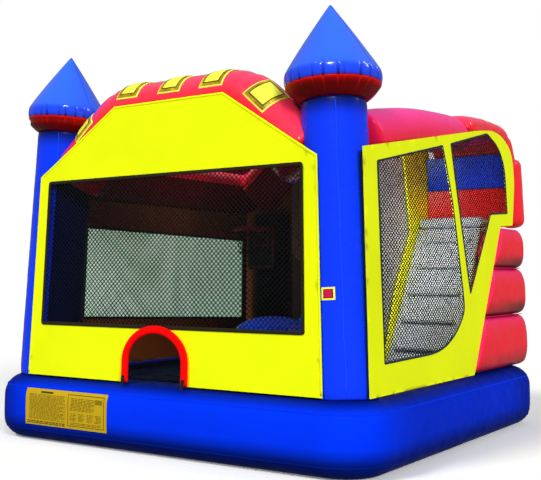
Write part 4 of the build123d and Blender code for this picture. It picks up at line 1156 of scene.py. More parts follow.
def make_bricks():
    flat = math.radians(22), math.radians(88)
    slope = math.radians(18), math.radians(84)
    right = Vector((1, 0, 0))
    for k, x in enumerate((-0.56, 0.0, 0.53)):
        make_brick(k, lean(x, FRONT_Y, 3.30), right, 0.275, *flat)
    for k, (a, b, t) in enumerate(((GABLE[1], GABLE[0], 0.42), (GABLE[2], GABLE[3], 0.27))):
        along = (b - a) if b.x > a.x else (a - b)
        make_brick(3 + k, a.lerp(b, t), along, 0.30, *slope)


# ---- wall planes ---------------------------------------------------------------------------------
def on_front(u, v, out=0.0):
    return lean(u, -WALL_Y - out, v)


def on_rear(u, v, out=0.0):
    return lean(u, WALL_Y + out, v)


def on_right(u, v, out=0.0):
    return lean(WALL_X + out, u, v)


def on_left(u, v, out=0.0):
    return lean(LEFT_X - out, u, v)


def tension(windows, amount=0.004):
    """Shallow folds that run out from the corners of the windows, and a slight belly elsewhere."""
    corners = [Vector(p[:2]) for w in windows for p in w]

    def relief(u, v):
        p, lift = Vector((u, v)), 0.003 * noise.noise(Vector((u * 1.3, v * 1.3, 3.1)))
        for c in corners:
            d = p - c
            far = d.length
            if 0.001 < far < 0.6:
                fan = math.sin(9 * math.atan2(d[1], d[0]))
                lift += amount * fan * math.exp(-far / 0.16) * min(far / 0.05, 1)
        return lift
    return relief


FRONT_WIN = [(-1.60, 1.19), (1.59, 1.19), (1.59, 2.63), (-1.60, 2.63)]
DOOR_X, DOOR_HALF, DOOR_TOP, ARCH_W = -0.048, 0.325, 1.130, 0.078
CROWN = 0.26


def door_line(grow):
    """The door's edge from its left foot over the crown to its right foot, moved outwards by grow."""
    half, rise, spring = DOOR_HALF + grow, CROWN + grow, DOOR_TOP - CROWN
    line = [(DOOR_X - half, LOW), (DOOR_X - half, spring)]
    line += [(DOOR_X - half * math.cos(a), spring + rise * math.sin(a))
             for a in (math.pi * k / 24 for k in range(1, 24))]
    return line + [(DOOR_X + half, spring), (DOOR_X + half, LOW)]


def make_front_wall():
    door = door_line(ARCH_W * 0.4)
    outline = [(-1.77, LOW)] + door
    outline += [(1.77, LOW), (1.75, 2.70), (0.705, 3.345), (-0.705, 3.345), (-1.75, 2.70)]
    panel = cloth("front_sheet", outline, [FRONT_WIN], on_front, tension([FRONT_WIN]), inner_look=True)
    area = area_of(outline) - area_of(FRONT_WIN)
    keep(panel, ["yellow", "wall_shade"], ["front_wall_panel"],
         sheet=taut((3.54, 2.683), ["front_gable_beam", "base_tube"], area=area))
    mesh = net("front_net", FRONT_WIN, on_front)
    keep(mesh, "net", ["front_window_net"],
         sheet=taut((3.19, 1.44), ["front_sheet"]))
    edge = ribbon("front_window_binding", rounded(FRONT_WIN, [0.02] * 4), on_front, 0.034, 0.007, 0.012)
    keep(edge, "binding", ["window_bindings"])
    line = [(-1.76, LOW + 0.02), (-1.74, 2.69), (-0.70, 3.333), (0.70, 3.333), (1.74, 2.69),
            (1.76, LOW + 0.02)]
    hem = ribbon("front_hem", line, on_front, 0.020, 0.004, 0.006, closed=False)
    keep(hem, "yellow")
    make_door()


def make_door():
    """A padded arch round the door, sewn all round and drawn in a little along its length."""
    line = spaced(door_line(ARCH_W / 2), 0.02)
    rows, total = [], lengths([Vector(p) for p in line])
    for i, p in enumerate(line):
        q, o = line[min(i + 1, len(line) - 1)], line[max(i - 1, 0)]
        d = (Vector(q) - Vector(o)).normalized()
        n = Vector((-d[1], d[0]))
        puff = max(end_round(total[i], total[-1], 0.03), 0.35) * (1 + 0.05 * math.sin(total[i] * 60))
        row = []
        for k in range(28):
            a = 2 * math.pi * k / 28
            c, s = math.cos(a), math.sin(a)
            across = puffed(c, 0.8) * ARCH_W / 2
            row.append(on_front(p[0] + n[0] * across, p[1] + n[1] * across,
                                0.024 + puffed(s, 0.75) * 0.018 * puff))
        rows.append(row)
    keep(skin("door_arch_pad", rows), "arch", ["door_arch"])
    for k, x in enumerate((DOOR_X - DOOR_HALF - 0.040, DOOR_X + DOOR_HALF + 0.040)):
        drop = [(LOW + z, out) for z, out in
                ((0.066, 0.046), (0.040, 0.0475), (0.014, 0.050), (-0.006, 0.058), (-0.020, 0.078))]
        side = [[on_front(x + s * 0.018, z, out + t) for s in (-1, 1)] for t in (0, 0.003) for z, out in drop]
        front, back = side[5:], side[:5]
        rows = [f + b[::-1] for f, b in zip(front, back)]
        tab = skin(f"door_tab_{k}", rows)
        tab.modifiers.new("soft", "BEVEL").width = 0.001
        keep(tab, "webbing")


RIGHT_OUT = [(-1.820, LOW), (0.450, LOW), (1.447, 2.224), (1.855, 2.253), (2.016, 2.767), (1.988, 3.092),
             (1.744, 3.239), (1.420, 3.290), (1.100, 3.257), (0.820, 3.217), (-1.835, 2.760)]
RIGHT_WINS = ([(-1.541, 0.931), (-0.383, 0.951), (-0.004, 1.092), (0.224, 1.280), (0.263, 1.379),
               (0.079, 2.430), (-0.115, 2.952), (-1.571, 2.659)],
              [(0.439, 1.497), (1.142, 2.347), (1.679, 2.387), (1.684, 2.901), (1.521, 3.112), (1.171, 3.228),
               (0.109, 2.997)])
RIGHT_ROUND = ([0.01, 0.30, 0.20, 0.10, 0.2, 0.3, 0.01, 0.01], [0.01, 0.01, 0.01, 0.14, 0.16, 0.05, 0.01])


def make_right_wall():
    wins = [rounded(w, r) for w, r in zip(RIGHT_WINS, RIGHT_ROUND)]
    outline = rounded(RIGHT_OUT, [0.01, 0.01, 0.01, 0.02, 0.18, 0.18, 0.16, 0.16, 0.14, 0.10, 0.01])
    panel = cloth("right_sheet", outline, wins, on_right, tension(RIGHT_WINS, 0.003))
    area = area_of(outline) - sum(area_of(w) for w in wins)
    keep(panel, "yellow", ["right_wall_panel"],
         sheet=taut((3.851, 2.628), ["right_beam_skin", "base_tube"], area=max(area, 3.04)))
    for k, w in enumerate(wins):
        us, vs = [p[0] for p in w], [p[1] for p in w]
        flat = (max(us) - min(us), max(vs) - min(vs))
        mesh = net(f"right_net_{k}", w, on_right, cell=(0.056, 0.041), thread=0.0045)
        keep(mesh, "net", ["right_window_nets"],
             sheet=taut(flat, ["right_sheet"], area=area_of(w)))
        edge = ribbon(f"right_window_binding_{k}", w, on_right, 0.020, 0.007, 0.010)
        keep(edge, "slate")


LEFT_WIN = [(-1.24, 1.21), (1.80, 1.10), (1.80, 2.16), (-1.24, 2.215)]
REAR_WIN = [(-0.78, 1.20), (0.70, 1.20), (0.70, 2.50), (-0.78, 2.50)]


def make_left_wall():
    outline = [(-1.34, LOW), (ROOM_END, LOW), (ROOM_END, 2.545), (-1.34, 2.545)]
    panel = cloth("left_sheet", outline, [LEFT_WIN], on_left, tension([LEFT_WIN]), inner_look=True)
    keep(panel, ["yellow", "wall_shade"], ["left_wall_panel"],
         sheet=taut((3.24, 1.838), ["left_beam_skin"],
                    area=area_of(outline) - area_of(LEFT_WIN)))
    mesh = net("left_net", LEFT_WIN, on_left, cell=(0.036, 0.031), thread=0.0124, depth=0.3)
    keep(mesh, "net_grey", ["left_window_net"],
         sheet=taut((3.04, 1.115), ["left_sheet"], area=area_of(LEFT_WIN)))
    for k, lift in enumerate((0.007, -0.007)):
        edge = ribbon(f"left_window_binding_{k}", rounded(LEFT_WIN, [0.02] * 4), on_left, 0.028, lift, 0.010)
        keep(edge, "binding")


def make_rear_wall():
    outline = [(-1.90, LOW), (0.99, LOW), (0.99, 3.23), (-0.79, 3.23), (-1.70, 2.63), (-1.90, 2.50)]
    panel = cloth("rear_sheet", outline, [REAR_WIN], on_rear, tension([REAR_WIN]), inner_look=True)
    keep(panel, ["yellow", "wall_shade"], ["rear_wall_panel"],
         sheet=taut((2.89, 2.568), ["rear_gable_beam"],
                    area=area_of(outline) - area_of(REAR_WIN)))
    keep(net("rear_net", REAR_WIN, on_rear), "net", ["rear_window_net"],
         sheet=taut((1.48, 1.30), ["rear_sheet"]))
    for k, lift in enumerate((0.007, -0.007)):
        edge = ribbon(f"rear_window_binding_{k}", rounded(REAR_WIN, [0.02] * 4), on_rear, 0.028, lift, 0.010)
        keep(edge, "binding")


# ---- roof cover ----------------------------------------------------------------------------------
def make_roof():
    """One sheet over the room: it runs down both slopes and sags a little between the beams."""
    knee, foot = (0.84, ROOF_Z), (1.465, 2.990)
    profile = rounded([(-foot[0], foot[1]), (-knee[0], knee[1]), (knee[0], knee[1]), (foot[0], foot[1])],
                      [0, 0.22, 0.22, 0], closed=False, steps=10)
    run = lengths(profile)

    def along(s):
        """The profile's point at length s."""
        for i in range(len(run) - 1):
            if s <= run[i + 1]:
                t = (s - run[i]) / (run[i + 1] - run[i])
                return profile[i].lerp(profile[i + 1], t)
        return profile[-1]

    def where(x):
        """Length along the profile at which x is reached, on the flat or the right slope."""
        return min((abs(p[0] - x), s) for p, s in zip(profile, run))[1]

    def place(s, y, out):
        p = along(min(max(s, 0), run[-1]))
        return lean(p[0], y, p[1] + out)

    def relief(s, y):
        t = min(max((y + 1.35) / 2.72, 0), 1)
        sag = -0.030 * math.sin(math.pi * t) * min(abs(math.sin(math.pi * s / run[-1])) * 1.5, 1)
        fold = 0.006 * noise.noise(Vector((s * 2.2, y * 2.2, 5)))
        pull = 0.003 * math.sin(s * 21) * math.exp(-min(y + 1.35, 1.37 - y) / 0.15)
        return sag + (fold + pull)
    end = run[-1]
    cut = where(1.04)
    outline = [(0.01, -1.35), (end - 0.01, -1.35), (end - 0.01, 0.50), (cut, 0.50), (cut, 1.37), (0.01, 1.37)]
    # the sheet's underside takes the darker red, painted shade
    roof = cloth("roof_sheet", outline, [], place, relief, step=0.07, inner_look=True)
    keep(roof, ["roof", "roof_inside"], ["roof_cover"],
         sheet=taut((end, 2.72), ["front_gable_beam", "rear_gable_beam", "left_beam_skin"],
                    area=area_of(outline)))


# ---- side stack, climb, slide and divider --------------------------------------------------------
STACK_X = (1.895, 2.160)
STACK_Z = (FLOOR + 0.004, 1.235, 1.760, 2.216)


def stack_front(z):
    return 0.480 + (1.450 - 0.480) * (z - FLOOR) / (DECK_Z - FLOOR)


def make_stack():
    """Three pillows beside the climb, cut on its slope; deep creases with puckers part them."""
    xc, xh = sum(STACK_X) / 2, (STACK_X[1] - STACK_X[0]) / 2
    stations = [0, 0.002, 0.006, 0.014, 0.03, 0.07] + [0.13 + 0.74 * k / 16 for k in range(17)] + \
        [0.91, 0.95, 0.974, 0.988, 0.996, 1]
    for level, (z0, z1) in enumerate(zip(STACK_Z, STACK_Z[1:])):
        zc, zh = (z0 + z1) / 2, (z1 - z0) / 2 - 0.002
        rows = []
        for t in stations:
            close = end_round(1 - t, 2, 0.09) if t > 0.5 else end_round(t, 2, 0.022)
            row = []
            for k in range(72):
                a = 2 * math.pi * k / 72
                c, s = math.cos(a), math.sin(a)
                x = xc + puffed(c, 0.66) * xh * (0.5 + 0.5 * close)
                z = zc + puffed(s, 0.84) * zh * (0.55 + 0.45 * close)
                y = stack_front(z) - 0.018 + (2.108 - stack_front(z)) * t
                crease = min(z - z0, z1 - z)
                fold = 0.007 * ripple((x, y * 1.0, z * 0.3), 0.10) * math.exp(-crease / 0.09)
                fold += 0.006 * ripple((y, z * 1.6, level * 5), 0.22)
                x += fold * (1 if c > 0 else -1) * min(abs(c) * 2, 1)
                row.append(Vector((lean(x, 0, z).x, y, z)))
            rows.append(row)
        obj = skin(f"stack_pillow_{level}", rows)
        # painted shade: the lower part of each pillow darkens, more towards the rear
        shade(obj, [ramp01(z0 + 0.42 * (z1 - z0) - v.co.z, 0, 0.15)
                    * (0.25 + 0.6 * ramp01(v.co.y, stack_front(v.co.z), 1.9))
                    * (0.35 if level == 0 else 1) for v in obj.data.vertices])
        keep(obj, "stack", ["side_stack"])
    for level, z in enumerate(STACK_Z[1:3]):
        x, y = lean(STACK_X[1] - 0.045, 0, z).x, stack_front(z)
        line = [Vector((x, y + 0.03 + (1.93 - y) * t, z)) for t in (k / 24 for k in range(25))]
        obj = sweep(f"stack_seam_{level}", line, oval(0.02, 0.004), 8)
        keep(obj, "stack")


def soft_prism(name, outline, x0, x1, bevel=0.03, puff=0.0, cuts=5, leaning=True):
    """A stuffed slab with (y, z) corners and rounded edges, its faces swelling between the seams."""
    bm = bmesh.new()
    near = [bm.verts.new((x0, y, z)) for y, z in outline]
    far = [bm.verts.new((x1, y, z)) for y, z in outline]
    n = len(outline)
    bm.faces.new(near)
    bm.faces.new(far[::-1])
    for i in range(n):
        j = (i + 1) % n
        bm.faces.new((near[i], near[j], far[j], far[i]))
    bmesh.ops.recalc_face_normals(bm, faces=bm.faces)
    bmesh.ops.bevel(bm, geom=list(bm.edges), offset=bevel, segments=3, profile=0.5, affect="EDGES",
                    clamp_overlap=True)
    long_edges = [e for e in bm.edges if e.calc_length() > 0.12]
    bmesh.ops.subdivide_edges(bm, edges=long_edges, cuts=cuts, use_grid_fill=True)
    bmesh.ops.triangulate(bm, faces=[f for f in bm.faces if len(f.verts) > 4])
    bm.normal_update()
    lo = Vector((x0, min(p[0] for p in outline), min(p[1] for p in outline)))
    hi = Vector((x1, max(p[0] for p in outline), max(p[1] for p in outline)))
    for v in bm.verts:
        edge = min(min(v.co[i] - lo[i], hi[i] - v.co[i]) for i in range(3) if abs(v.normal[i]) < 0.6)
        swell = puff * min(max(edge, 0) / 0.15, 1)
        v.co += v.normal * (swell + 0.003 * ripple(v.co, 0.3))
        if leaning:
            v.co = lean(*v.co)
    for f in bm.faces:
        f.smooth = True
    mesh = bpy.data.meshes.new(name)
    layer = bm.loops.layers.uv.new("metres")
    for f in bm.faces:
        flat = max(range(3), key=lambda i: abs(f.normal[i]))
        for loop in f.loops:
            pair = [loop.vert.co[i] for i in range(3) if i != flat]
            loop[layer].uv = pair
    bm.to_mesh(mesh)
    bm.free()
    obj = bpy.data.objects.new(name, mesh)
    bpy.context.scene.collection.objects.link(obj)
    return obj


def make_climb():
    low = FLOOR + 0.004
    slope = [(0.45, low), (DECK_Y - 0.004, low), (DECK_Y - 0.004, DECK_Z - 0.006)]
    ramp = soft_prism("climb_slope", slope, LANE_IN, LANE_OUT, bevel=0.02)
    keep(ramp, "grey", ["climb_ramp"])
    foot, head = Vector((0, 0.45, low)), Vector((0, DECK_Y - 0.004, DECK_Z - 0.006))
    foot, head = lean(*foot), lean(*head)
    up = (head - foot).normalized()
    off = Vector((0, -up.z, up.y)) * 0.031
    for i in range(5):
        c = foot + (head - foot) * ((i + 0.75) / 5.25) + off
        x0, x1 = lean(LANE_IN + 0.09, 0, c.z).x, lean(LANE_OUT - 0.09, 0, c.z).x
        rung = air_tube(f"climb_rung_{i}", [Vector((x0, c.y, c.z)), Vector((x1, c.y, c.z))], 0.029, sides=24,
                        reach=0.025, folds=0.001)
        keep(rung, "rung", ["climb_rungs"])
    deck = [(DECK_Y, low), (ROOM_END, low), (ROOM_END, DECK_Z), (DECK_Y, DECK_Z)]
    for k, (x0, x1) in enumerate(((LANE_IN, LANE_OUT), (0.41, 1.01))):
        keep(soft_prism(f"deck_{k}", deck, x0, x1, bevel=0.04), "grey", ["platform"])
    mat = [(DECK_Y + 0.012, DECK_Z + 0.008), (1.742, DECK_Z + 0.008), (1.742, 2.345), (DECK_Y + 0.012, 2.345)]
    mat = soft_prism("deck_mat", mat, LANE_IN, LANE_OUT, bevel=0.045)
    keep(mat, "grey", ["platform"])
    slide = [(-0.25, low), (DECK_Y - 0.004, low), (DECK_Y - 0.004, DECK_Z - 0.09), (-0.25, FLOOR + 0.084)]
    slide = soft_prism("slide_skin", slide, 0.41, 1.01, bevel=0.03)
    keep(slide, "grey", ["slide_bed"])
    bolster = air_tube("slide_side_bolster", [lean(0.296, -0.31, 0.79), lean(0.296, 1.85, 2.40)], 0.108,
                       sides=36, reach=0.06, creases=(0.68, 1.36, 2.02))
    keep(bolster, "blue", ["slide_bolster"])
    # the sheet beside the slide is near-black, painted shade
    wall = cloth("slide_sheet", [(0.06, LOW), (ROOM_END, LOW), (ROOM_END, 2.88), (0.06, 2.88)], [],
                 lambda u, v, w: lean(0.165 + w, u, v),
                 lambda u, v: 0.004 * noise.noise(Vector((u * 2, v * 2, 9))))
    keep(wall, "slide_wall", ["slide_wall"],
         sheet=taut((1.84, 2.218), ["bounce_mattress"]))


def make_pillar():
    """The pop-up pillar: a short column under a dome, with a seam where they meet."""
    axis, rows = TowerAxis(0.64, -1.05), []
    r0, top, dome = 0.385, 1.28, 0.19
    profile = [(r0 - 0.012, FLOOR + 0.001), (r0, FLOOR + 0.03), (r0 + 0.006, FLOOR + 0.2),
               (r0, top - dome - 0.02), (r0 - 0.007, top - dome)]
    profile += [(r0 * math.cos(math.radians(a)) * 0.995, top - dome + dome * math.sin(math.radians(a)))
                for a in range(6, 90, 7)]
    profile.append((0.004, top - 0.002))
    for r, z in curve_through(profile, 3):
        rows.append([axis.at(r + 0.003 * ripple((math.cos(a) * 2, math.sin(a) * 2, z), 0.4), a, z)
                     for a in (2 * math.pi * k / 72 for k in range(72))])
    keep(skin("pillar_skin", rows), "blue", ["popup_pillar"])


def make_divider():
    line = [(0.16, LOW), (0.52, LOW), (0.89, 1.53), (1.33, 2.18), (1.17, 3.29), (0.515, 3.29), (0.515, 3.20),
            (0.16, 3.20)]
    line = rounded(line, [0, 0, 0.2, 0.1, 0, 0, 0, 0])
    sheet = cloth("divider_sheet", line, [], lambda u, v, w: lean(1.032 + w, u, v),
                  lambda u, v: 0.004 * noise.noise(Vector((u * 2, v * 2, 1))))
    keep(sheet, "divider", ["divider_panel"],
         sheet=taut((1.17, 2.628), ["roof_sheet", "bounce_mattress"], area=area_of(line)))
    # painted shade: the divider darkens towards its front edge
    shade(sheet, [min(max(1.25 - (v.co.y - 0.16) / 0.75, 0), 1) for v in sheet.data.vertices])
    frame_line = rounded([(0.470, LOW), (0.640, LOW), (1.640, 2.212), (1.880, 2.390), (1.870, 3.290),
                          (1.120, 3.290), (1.290, 2.180), (0.840, 1.530)],
                         [0, 0, 0.12, 0.1, 0.02, 0.02, 0.12, 0.2])
    edge = cloth("divider_edge", frame_line, [], lambda u, v, w: lean(1.064 + w, u, v), thick=0.026)
    puff = edge.modifiers.new("rounding", "BEVEL")
    puff.width, puff.segments, puff.limit_method = 0.010, 3, "ANGLE"
    keep(edge, "divider_yellow", ["divider_frame"])


def make_hood():
    """The hood over the platform: a quilted mattress bent over the top and down the rear."""
    x0, x1 = LANE_IN + 0.005, 2.110
    for look, z0, z1 in (("red", 2.234, 2.684), ("blue", 2.688, 3.076)):
        line = [(1.752, z0), (1.868, z0), (1.868, z1), (1.752, z1)]
        band = soft_prism(f"rear_band_{look}", line, x0, x1, bevel=0.022)
        # painted light: the bands brighten towards their top and their inner end
        shade(band, [min(max((1.62 - v.co.x) / 0.5 * (v.co.z - z0) / (z1 - z0), 0), 1) ** 1.5
                     for v in band.data.vertices])
        keep(band, f"band_{look}", ["platform_bands"])
    for side, x, y in (("inner", 1.240, 2.022), ("outer", 2.005, 2.190)):
        post = air_tube(f"rear_post_{side}", [lean(x, y, 2.236), lean(x, y, 3.060)], 0.139, sides=48,
                        reach=0.11, step=0.04)
        keep(post, "red", ["platform_bands"])
    ridge = ((2.078, 3.040), (1.990, 3.205), (1.795, 3.292), (1.525, 3.300), (1.215, 3.296), (0.905, 3.270))
    centre = spaced(curve_through([lean(0, y, z) for y, z in ridge], 14), 0.022)
    run = lengths(centre)
    quilt = [run[-1] * k / 5 for k in range(1, 5)]
    half_x, mid_x, r = (x1 - x0) / 2, (x0 + x1) / 2, 0.145
    ends = [Vector(centre[0]) - Vector(centre[1]), Vector(centre[-1]) - Vector(centre[-2])]
    stations = [(centre[0], ends[0].normalized(), -r * math.sin(math.radians(a)), math.cos(math.radians(a)))
                for a in (88, 76, 62, 46, 28, 12)]
    rows = []

    def ring(p, ahead, squeeze, s):
        normal = Vector((0, ahead.z, -ahead.y))
        scale = 1 - LEAN_X * (p.z - FLOOR)
        row = []
        for k in range(96):
            a = 2 * math.pi * k / 96
            c, t = math.cos(a), math.sin(a)
            crease = sum(bump_at(s, q, 0.020) for q in quilt)
            wide = sum(bump_at(s, q, 0.09) for q in quilt)
            edge = abs(c) ** 0.9
            depth = 0.020 * crease + 0.010 * wide * edge
            across = puffed(c, 0.42) * (half_x - 0.012 * crease * edge - (1 - squeeze) * 0.06)
            thick = puffed(t, 0.80) * (r - depth) * squeeze
            thick += 0.004 * math.sin(30 * s + 8 * a) * wide * edge
            row.append(p + normal * thick + Vector((mid_x * scale + across * scale, 0, 0)))
        return row
    for p, d, back, squeeze in stations:
        rows.append(ring(p + d * (-back), -d, max(squeeze, 0.05), 0.0))
    for i, p in enumerate(centre):
        q, o = centre[min(i + 1, len(centre) - 1)], centre[max(i - 1, 0)]
        rows.append(ring(p, (q - o).normalized(), 1.0, run[i]))
    for a in (12, 28, 46, 62, 76, 88):
        d = ends[1].normalized()
        tip = centre[-1] + d * (r * math.sin(math.radians(a)))
        rows.append(ring(tip, d, max(math.cos(math.radians(a)), 0.05), run[-1]))
    keep(skin("hood_quilt", rows), "red", ["hood"])


def make_rear_column():
    axis = TowerAxis(-1.2, 1.68)
    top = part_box("column_rear")[1].z
    rows = []
    for k in range(60):
        z = FLOOR + 0.001 + (top - FLOOR - 0.03) * k / 59
        r = 0.23 * taper(z) - 0.008 * bump_at(z, FLOOR, 0.03)
        rows.append([axis.at(r + 0.002 * ripple((math.cos(a), math.sin(a), z * 3), 0.4), a, z)
                     for a in (2 * math.pi * i / 56 for i in range(56))])
    beam = (lean(-1.48, REAR_Y, 2.74), lean(-0.85, REAR_Y, 3.21))
    d = (beam[1] - beam[0]).normalized()
    for row in rows:
        for p in row:
            rel = p - beam[0]
            gap = (rel - d * rel.dot(d)).length
            while gap < BEAM_R + 0.004 and p.z > 1.5:
                p.z -= 0.004
                rel = p - beam[0]
                gap = (rel - d * rel.dot(d)).length
    # the rear column is painted near-black: painted shade
    keep(skin("rear_column_skin", rows), "column_dark", ["column_rear"])


# ---- printed panels ------------------------------------------------------------------------------
def base_point(x, z, lift):
    """A point on the base's front face."""
    return Vector((x, -BASE_Y - base_out(z) - lift, z))


def patch(name, u0, u1, v0, v1, place, lift, columns, rows):
    """A thin flat piece laid on a surface."""
    grid = [[place(u0 + (u1 - u0) * i / columns, v0 + (v1 - v0) * j / rows, lift) for i in range(columns + 1)]
            for j in range(rows + 1)]
    return skin(name, grid, wrap=False)


PRINT_LIFT = 0.0058                        # how far the print stands off the base's skin


def make_rules_panel():
    """A printed sheet of rules: rows of unreadable dashes, and a framed table on its right half."""
    x0, x1, z0, z1 = -1.645, -0.525, 0.180, 0.540
    sheet = patch("rules_sheet", x0, x1, z0, z1, base_point, 0.005, 40, 30)
    r = random.Random(5)
    marks = []

    def dash_rows(a0, a1, b0, b1, count, weight=1.0):
        step = (b1 - b0) / count
        for j in range(count):
            z, x = b1 - (j + 0.5) * step, a0 + r.uniform(0, 0.02)
            stop = a1 - r.uniform(0, 0.25) * (a1 - a0) * (j % 3 == 2)
            while x < stop:
                w = min(r.uniform(0.012, 0.05), stop - x)
                marks.append((x, x + w, z - step * 0.20 * weight, z + step * 0.20 * weight))
                x += w + r.uniform(0.006, 0.013)
    dash_rows(x0 + 0.05, x0 + 0.56, z0 + 0.055, z1 - 0.05, 22)
    marks.append((x0 + 0.21, x0 + 0.385, z1 - 0.040, z1 - 0.022))
    dash_rows(x0 + 0.02, x0 + 0.56, z0 + 0.012, z0 + 0.045, 2, 1.6)
    fx0, fx1, fz0, fz1 = x0 + 0.60, x1 - 0.035, z0 + 0.025, z1 - 0.028
    t = 0.006
    marks += [(fx0, fx1, fz0, fz0 + t), (fx0, fx1, fz1 - t, fz1)]
    marks += [(fx0, fx0 + t, fz0, fz1), (fx1 - t, fx1, fz0, fz1)]
    dash_rows(fx0 + 0.03, fx1 - 0.13, fz0 + 0.15, fz1 - 0.03, 9)
    marks += [(fx1 - 0.12 + 0.014 * k, fx1 - 0.112 + 0.014 * k, fz1 - 0.075, fz1 - 0.03) for k in range(7)]
    for k in range(4):
        dash_rows(fx0 + 0.025 + 0.112 * k, fx0 + 0.115 + 0.112 * k, fz0 + 0.05, fz0 + 0.13, 6)
    dash_rows(fx0 + 0.03, fx1 - 0.03, fz0 + 0.012, fz0 + 0.04, 2)
    verts, faces = [], []
    for a, b, c, d in marks:
        pieces = max(1, int((d - c) / 0.02))
        for k in range(pieces):
            low, high = c + (d - c) * k / pieces, c + (d - c) * (k + 1) / pieces
            base = len(verts)
            verts += [base_point(x, z, PRINT_LIFT) for x, z in ((a, low), (b, low), (b, high), (a, high))]
            faces.append((base, base + 1, base + 2, base + 3))
    print_obj = from_data("rules_print", verts, faces, smooth=False, outward=False)
    keep(sheet, "ochre", ["printed_labels"],
         sheet=laid((1.12, 0.37), "base_tube"))
    keep(print_obj, "ink")


def make_tower_tag():
    """A small sewn tag on the right tower: yellow border round a red square."""
    axis = TowerAxis(TOWER_X, TOWER_Y)
    middle_a, middle_z = math.radians(-81), 1.516

    def place(u, v, out):
        z = middle_z + v
        r = TOWER_R * taper(z) + out
        return axis.at(r, middle_a + u / TOWER_R, z)
    for name, size, lift, look in (("tower_tag_border", 0.062, 0.0045, "gold_rim"),
                                   ("tower_tag_line", 0.044, 0.0055, "tag_dark"),
                                   ("tower_tag_centre", 0.036, 0.0065, "tag_pink")):
        obj = patch(name, -size, size, -size * 0.87, size * 0.87, place, lift, 10, 4)
        keep(obj, look, sheet=laid((2 * size, 2 * size * 0.87), "tower_skin_right"))


# ---- hoop ----------------------------------------------------------------------------------------
def circle(centre, r, count, drop=0.0):
    """Points round a level circle, drop above its centre."""
    return [centre + Vector((r * math.cos(a), r * math.sin(a), drop))
            for a in (2 * math.pi * k / count for k in range(count))]


HOOP_R, HOOP_TUBE, HOOP_Z = 0.210, 0.025, 2.270
NET_MOUTH, NET_FOOT, NET_DEEP = 0.178, 0.139, 0.245


def make_hoop():
    lo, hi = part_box("hoop_board")
    bm = bmesh.new()
    bmesh.ops.create_cube(bm, size=1.0)
    for v in bm.verts:
        v.co = Vector([lo[i] + (hi[i] - lo[i]) * (v.co[i] + 0.5) for i in range(3)])
    corners = [e for e in bm.edges if abs(e.verts[0].co.y - e.verts[1].co.y) > 0.01]
    bmesh.ops.bevel(bm, geom=corners, offset=0.05, segments=6, profile=0.5, affect="EDGES")
    bmesh.ops.bevel(bm, geom=list(bm.edges), offset=0.004, segments=2, profile=0.5, affect="EDGES",
                    clamp_overlap=True)
    mesh = bpy.data.meshes.new("hoop_backboard")
    bm.to_mesh(mesh)
    bm.free()
    board = bpy.data.objects.new("hoop_backboard", mesh)
    bpy.context.scene.collection.objects.link(board)
    keep(board, "board", ["hoop_board"])
    cx, y = (lo.x + hi.x) / 2, lo.y - 0.002
    for k, (w, h, zc) in enumerate(((0.185, 0.25, 2.04), (0.10, 0.075, 2.14))):
        line = [(cx - w, zc - h), (cx + w, zc - h), (cx + w, zc + h), (cx - w, zc + h)]
        trim = ribbon(f"hoop_board_trim_{k}", rounded(line, [0.02] * 4),
                      lambda u, v, out: Vector((u, y - out, v)), 0.016, 0.0, 0.003)
        keep(trim, "hoop")
    ring_c = Vector((cx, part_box("hoop")[0].y + 0.236, HOOP_Z))
    torus = sweep("hoop_ring", circle(ring_c, HOOP_R, 64),
                  lambda s, t, a: (HOOP_TUBE * math.cos(a) * (1 + 0.02 * math.sin(70 * s)),
                                   HOOP_TUBE * math.sin(a)), 20, closed=True)
    keep(torus, "hoop", ["hoop"])
    line = [(ring_c.y + y, z) for y, z in ((0.222, 2.225), (0.236, 2.225), (0.236, 2.315), (0.222, 2.315))]
    tongue = soft_prism("hoop_tongue", line, cx - 0.035, cx + 0.035, bevel=0.003, leaning=False)
    keep(tongue, "webbing")
    verts, faces = [], []

    def cone_point(a, t):
        r = NET_MOUTH + (NET_FOOT - NET_MOUTH) * t
        return ring_c + Vector((r * math.cos(a), r * math.sin(a), -0.032 - NET_DEEP * t))
    for sign in (1, -1):
        for k in range(20):
            line = [cone_point(2 * math.pi * k / 20 + sign * 0.9 * t, t) for t in (i / 8 for i in range(9))]
            strand = sweep("strand", line, oval(0.002, 0.002), 5, up=(0, 0, 1), caps=False)
            base = len(verts)
            verts += [v.co.copy() for v in strand.data.vertices]
            faces += [tuple(base + i for i in p.vertices) for p in strand.data.polygons]
            bpy.data.objects.remove(strand)
    keep(from_data("hoop_net", verts, faces), "net")
    hem = sweep("hoop_net_hem", circle(ring_c, 0.140, 48, -0.296), oval(0.010, 0.010), 12, closed=True)
    keep(hem, "webbing")


# ---- anchors, zipper, sleeve ---------------------------------------------------------------------
ANCHORS = {"d_ring_rear_left": ("rear", -1.750), "d_ring_rear_right": ("rear", 1.500),
           "d_ring_left_front": ("left", -1.350), "d_ring_left_rear": ("left", 1.450)}
ANCHOR_Z, RING_OUT = 0.300, 0.014
RING_R, RING_WIRE, BIGHT_R = 0.031, 0.004, 0.0075      # D-ring, its wire, the webbing's turn round it
PATCH_X, PATCH_LOW, PATCH_TOP = 0.085, 0.285, 0.415
STITCH_STEP, STITCH_LONG = 0.0024, 0.0016


def wall_point(wall, along, u, out, z):
    """u along the wall from an anchor's middle, out from the base's face."""
    if wall == "rear":
        return Vector((along - u, BASE_Y + out, z))
    return Vector((-BASE_X - out, along - u, z))


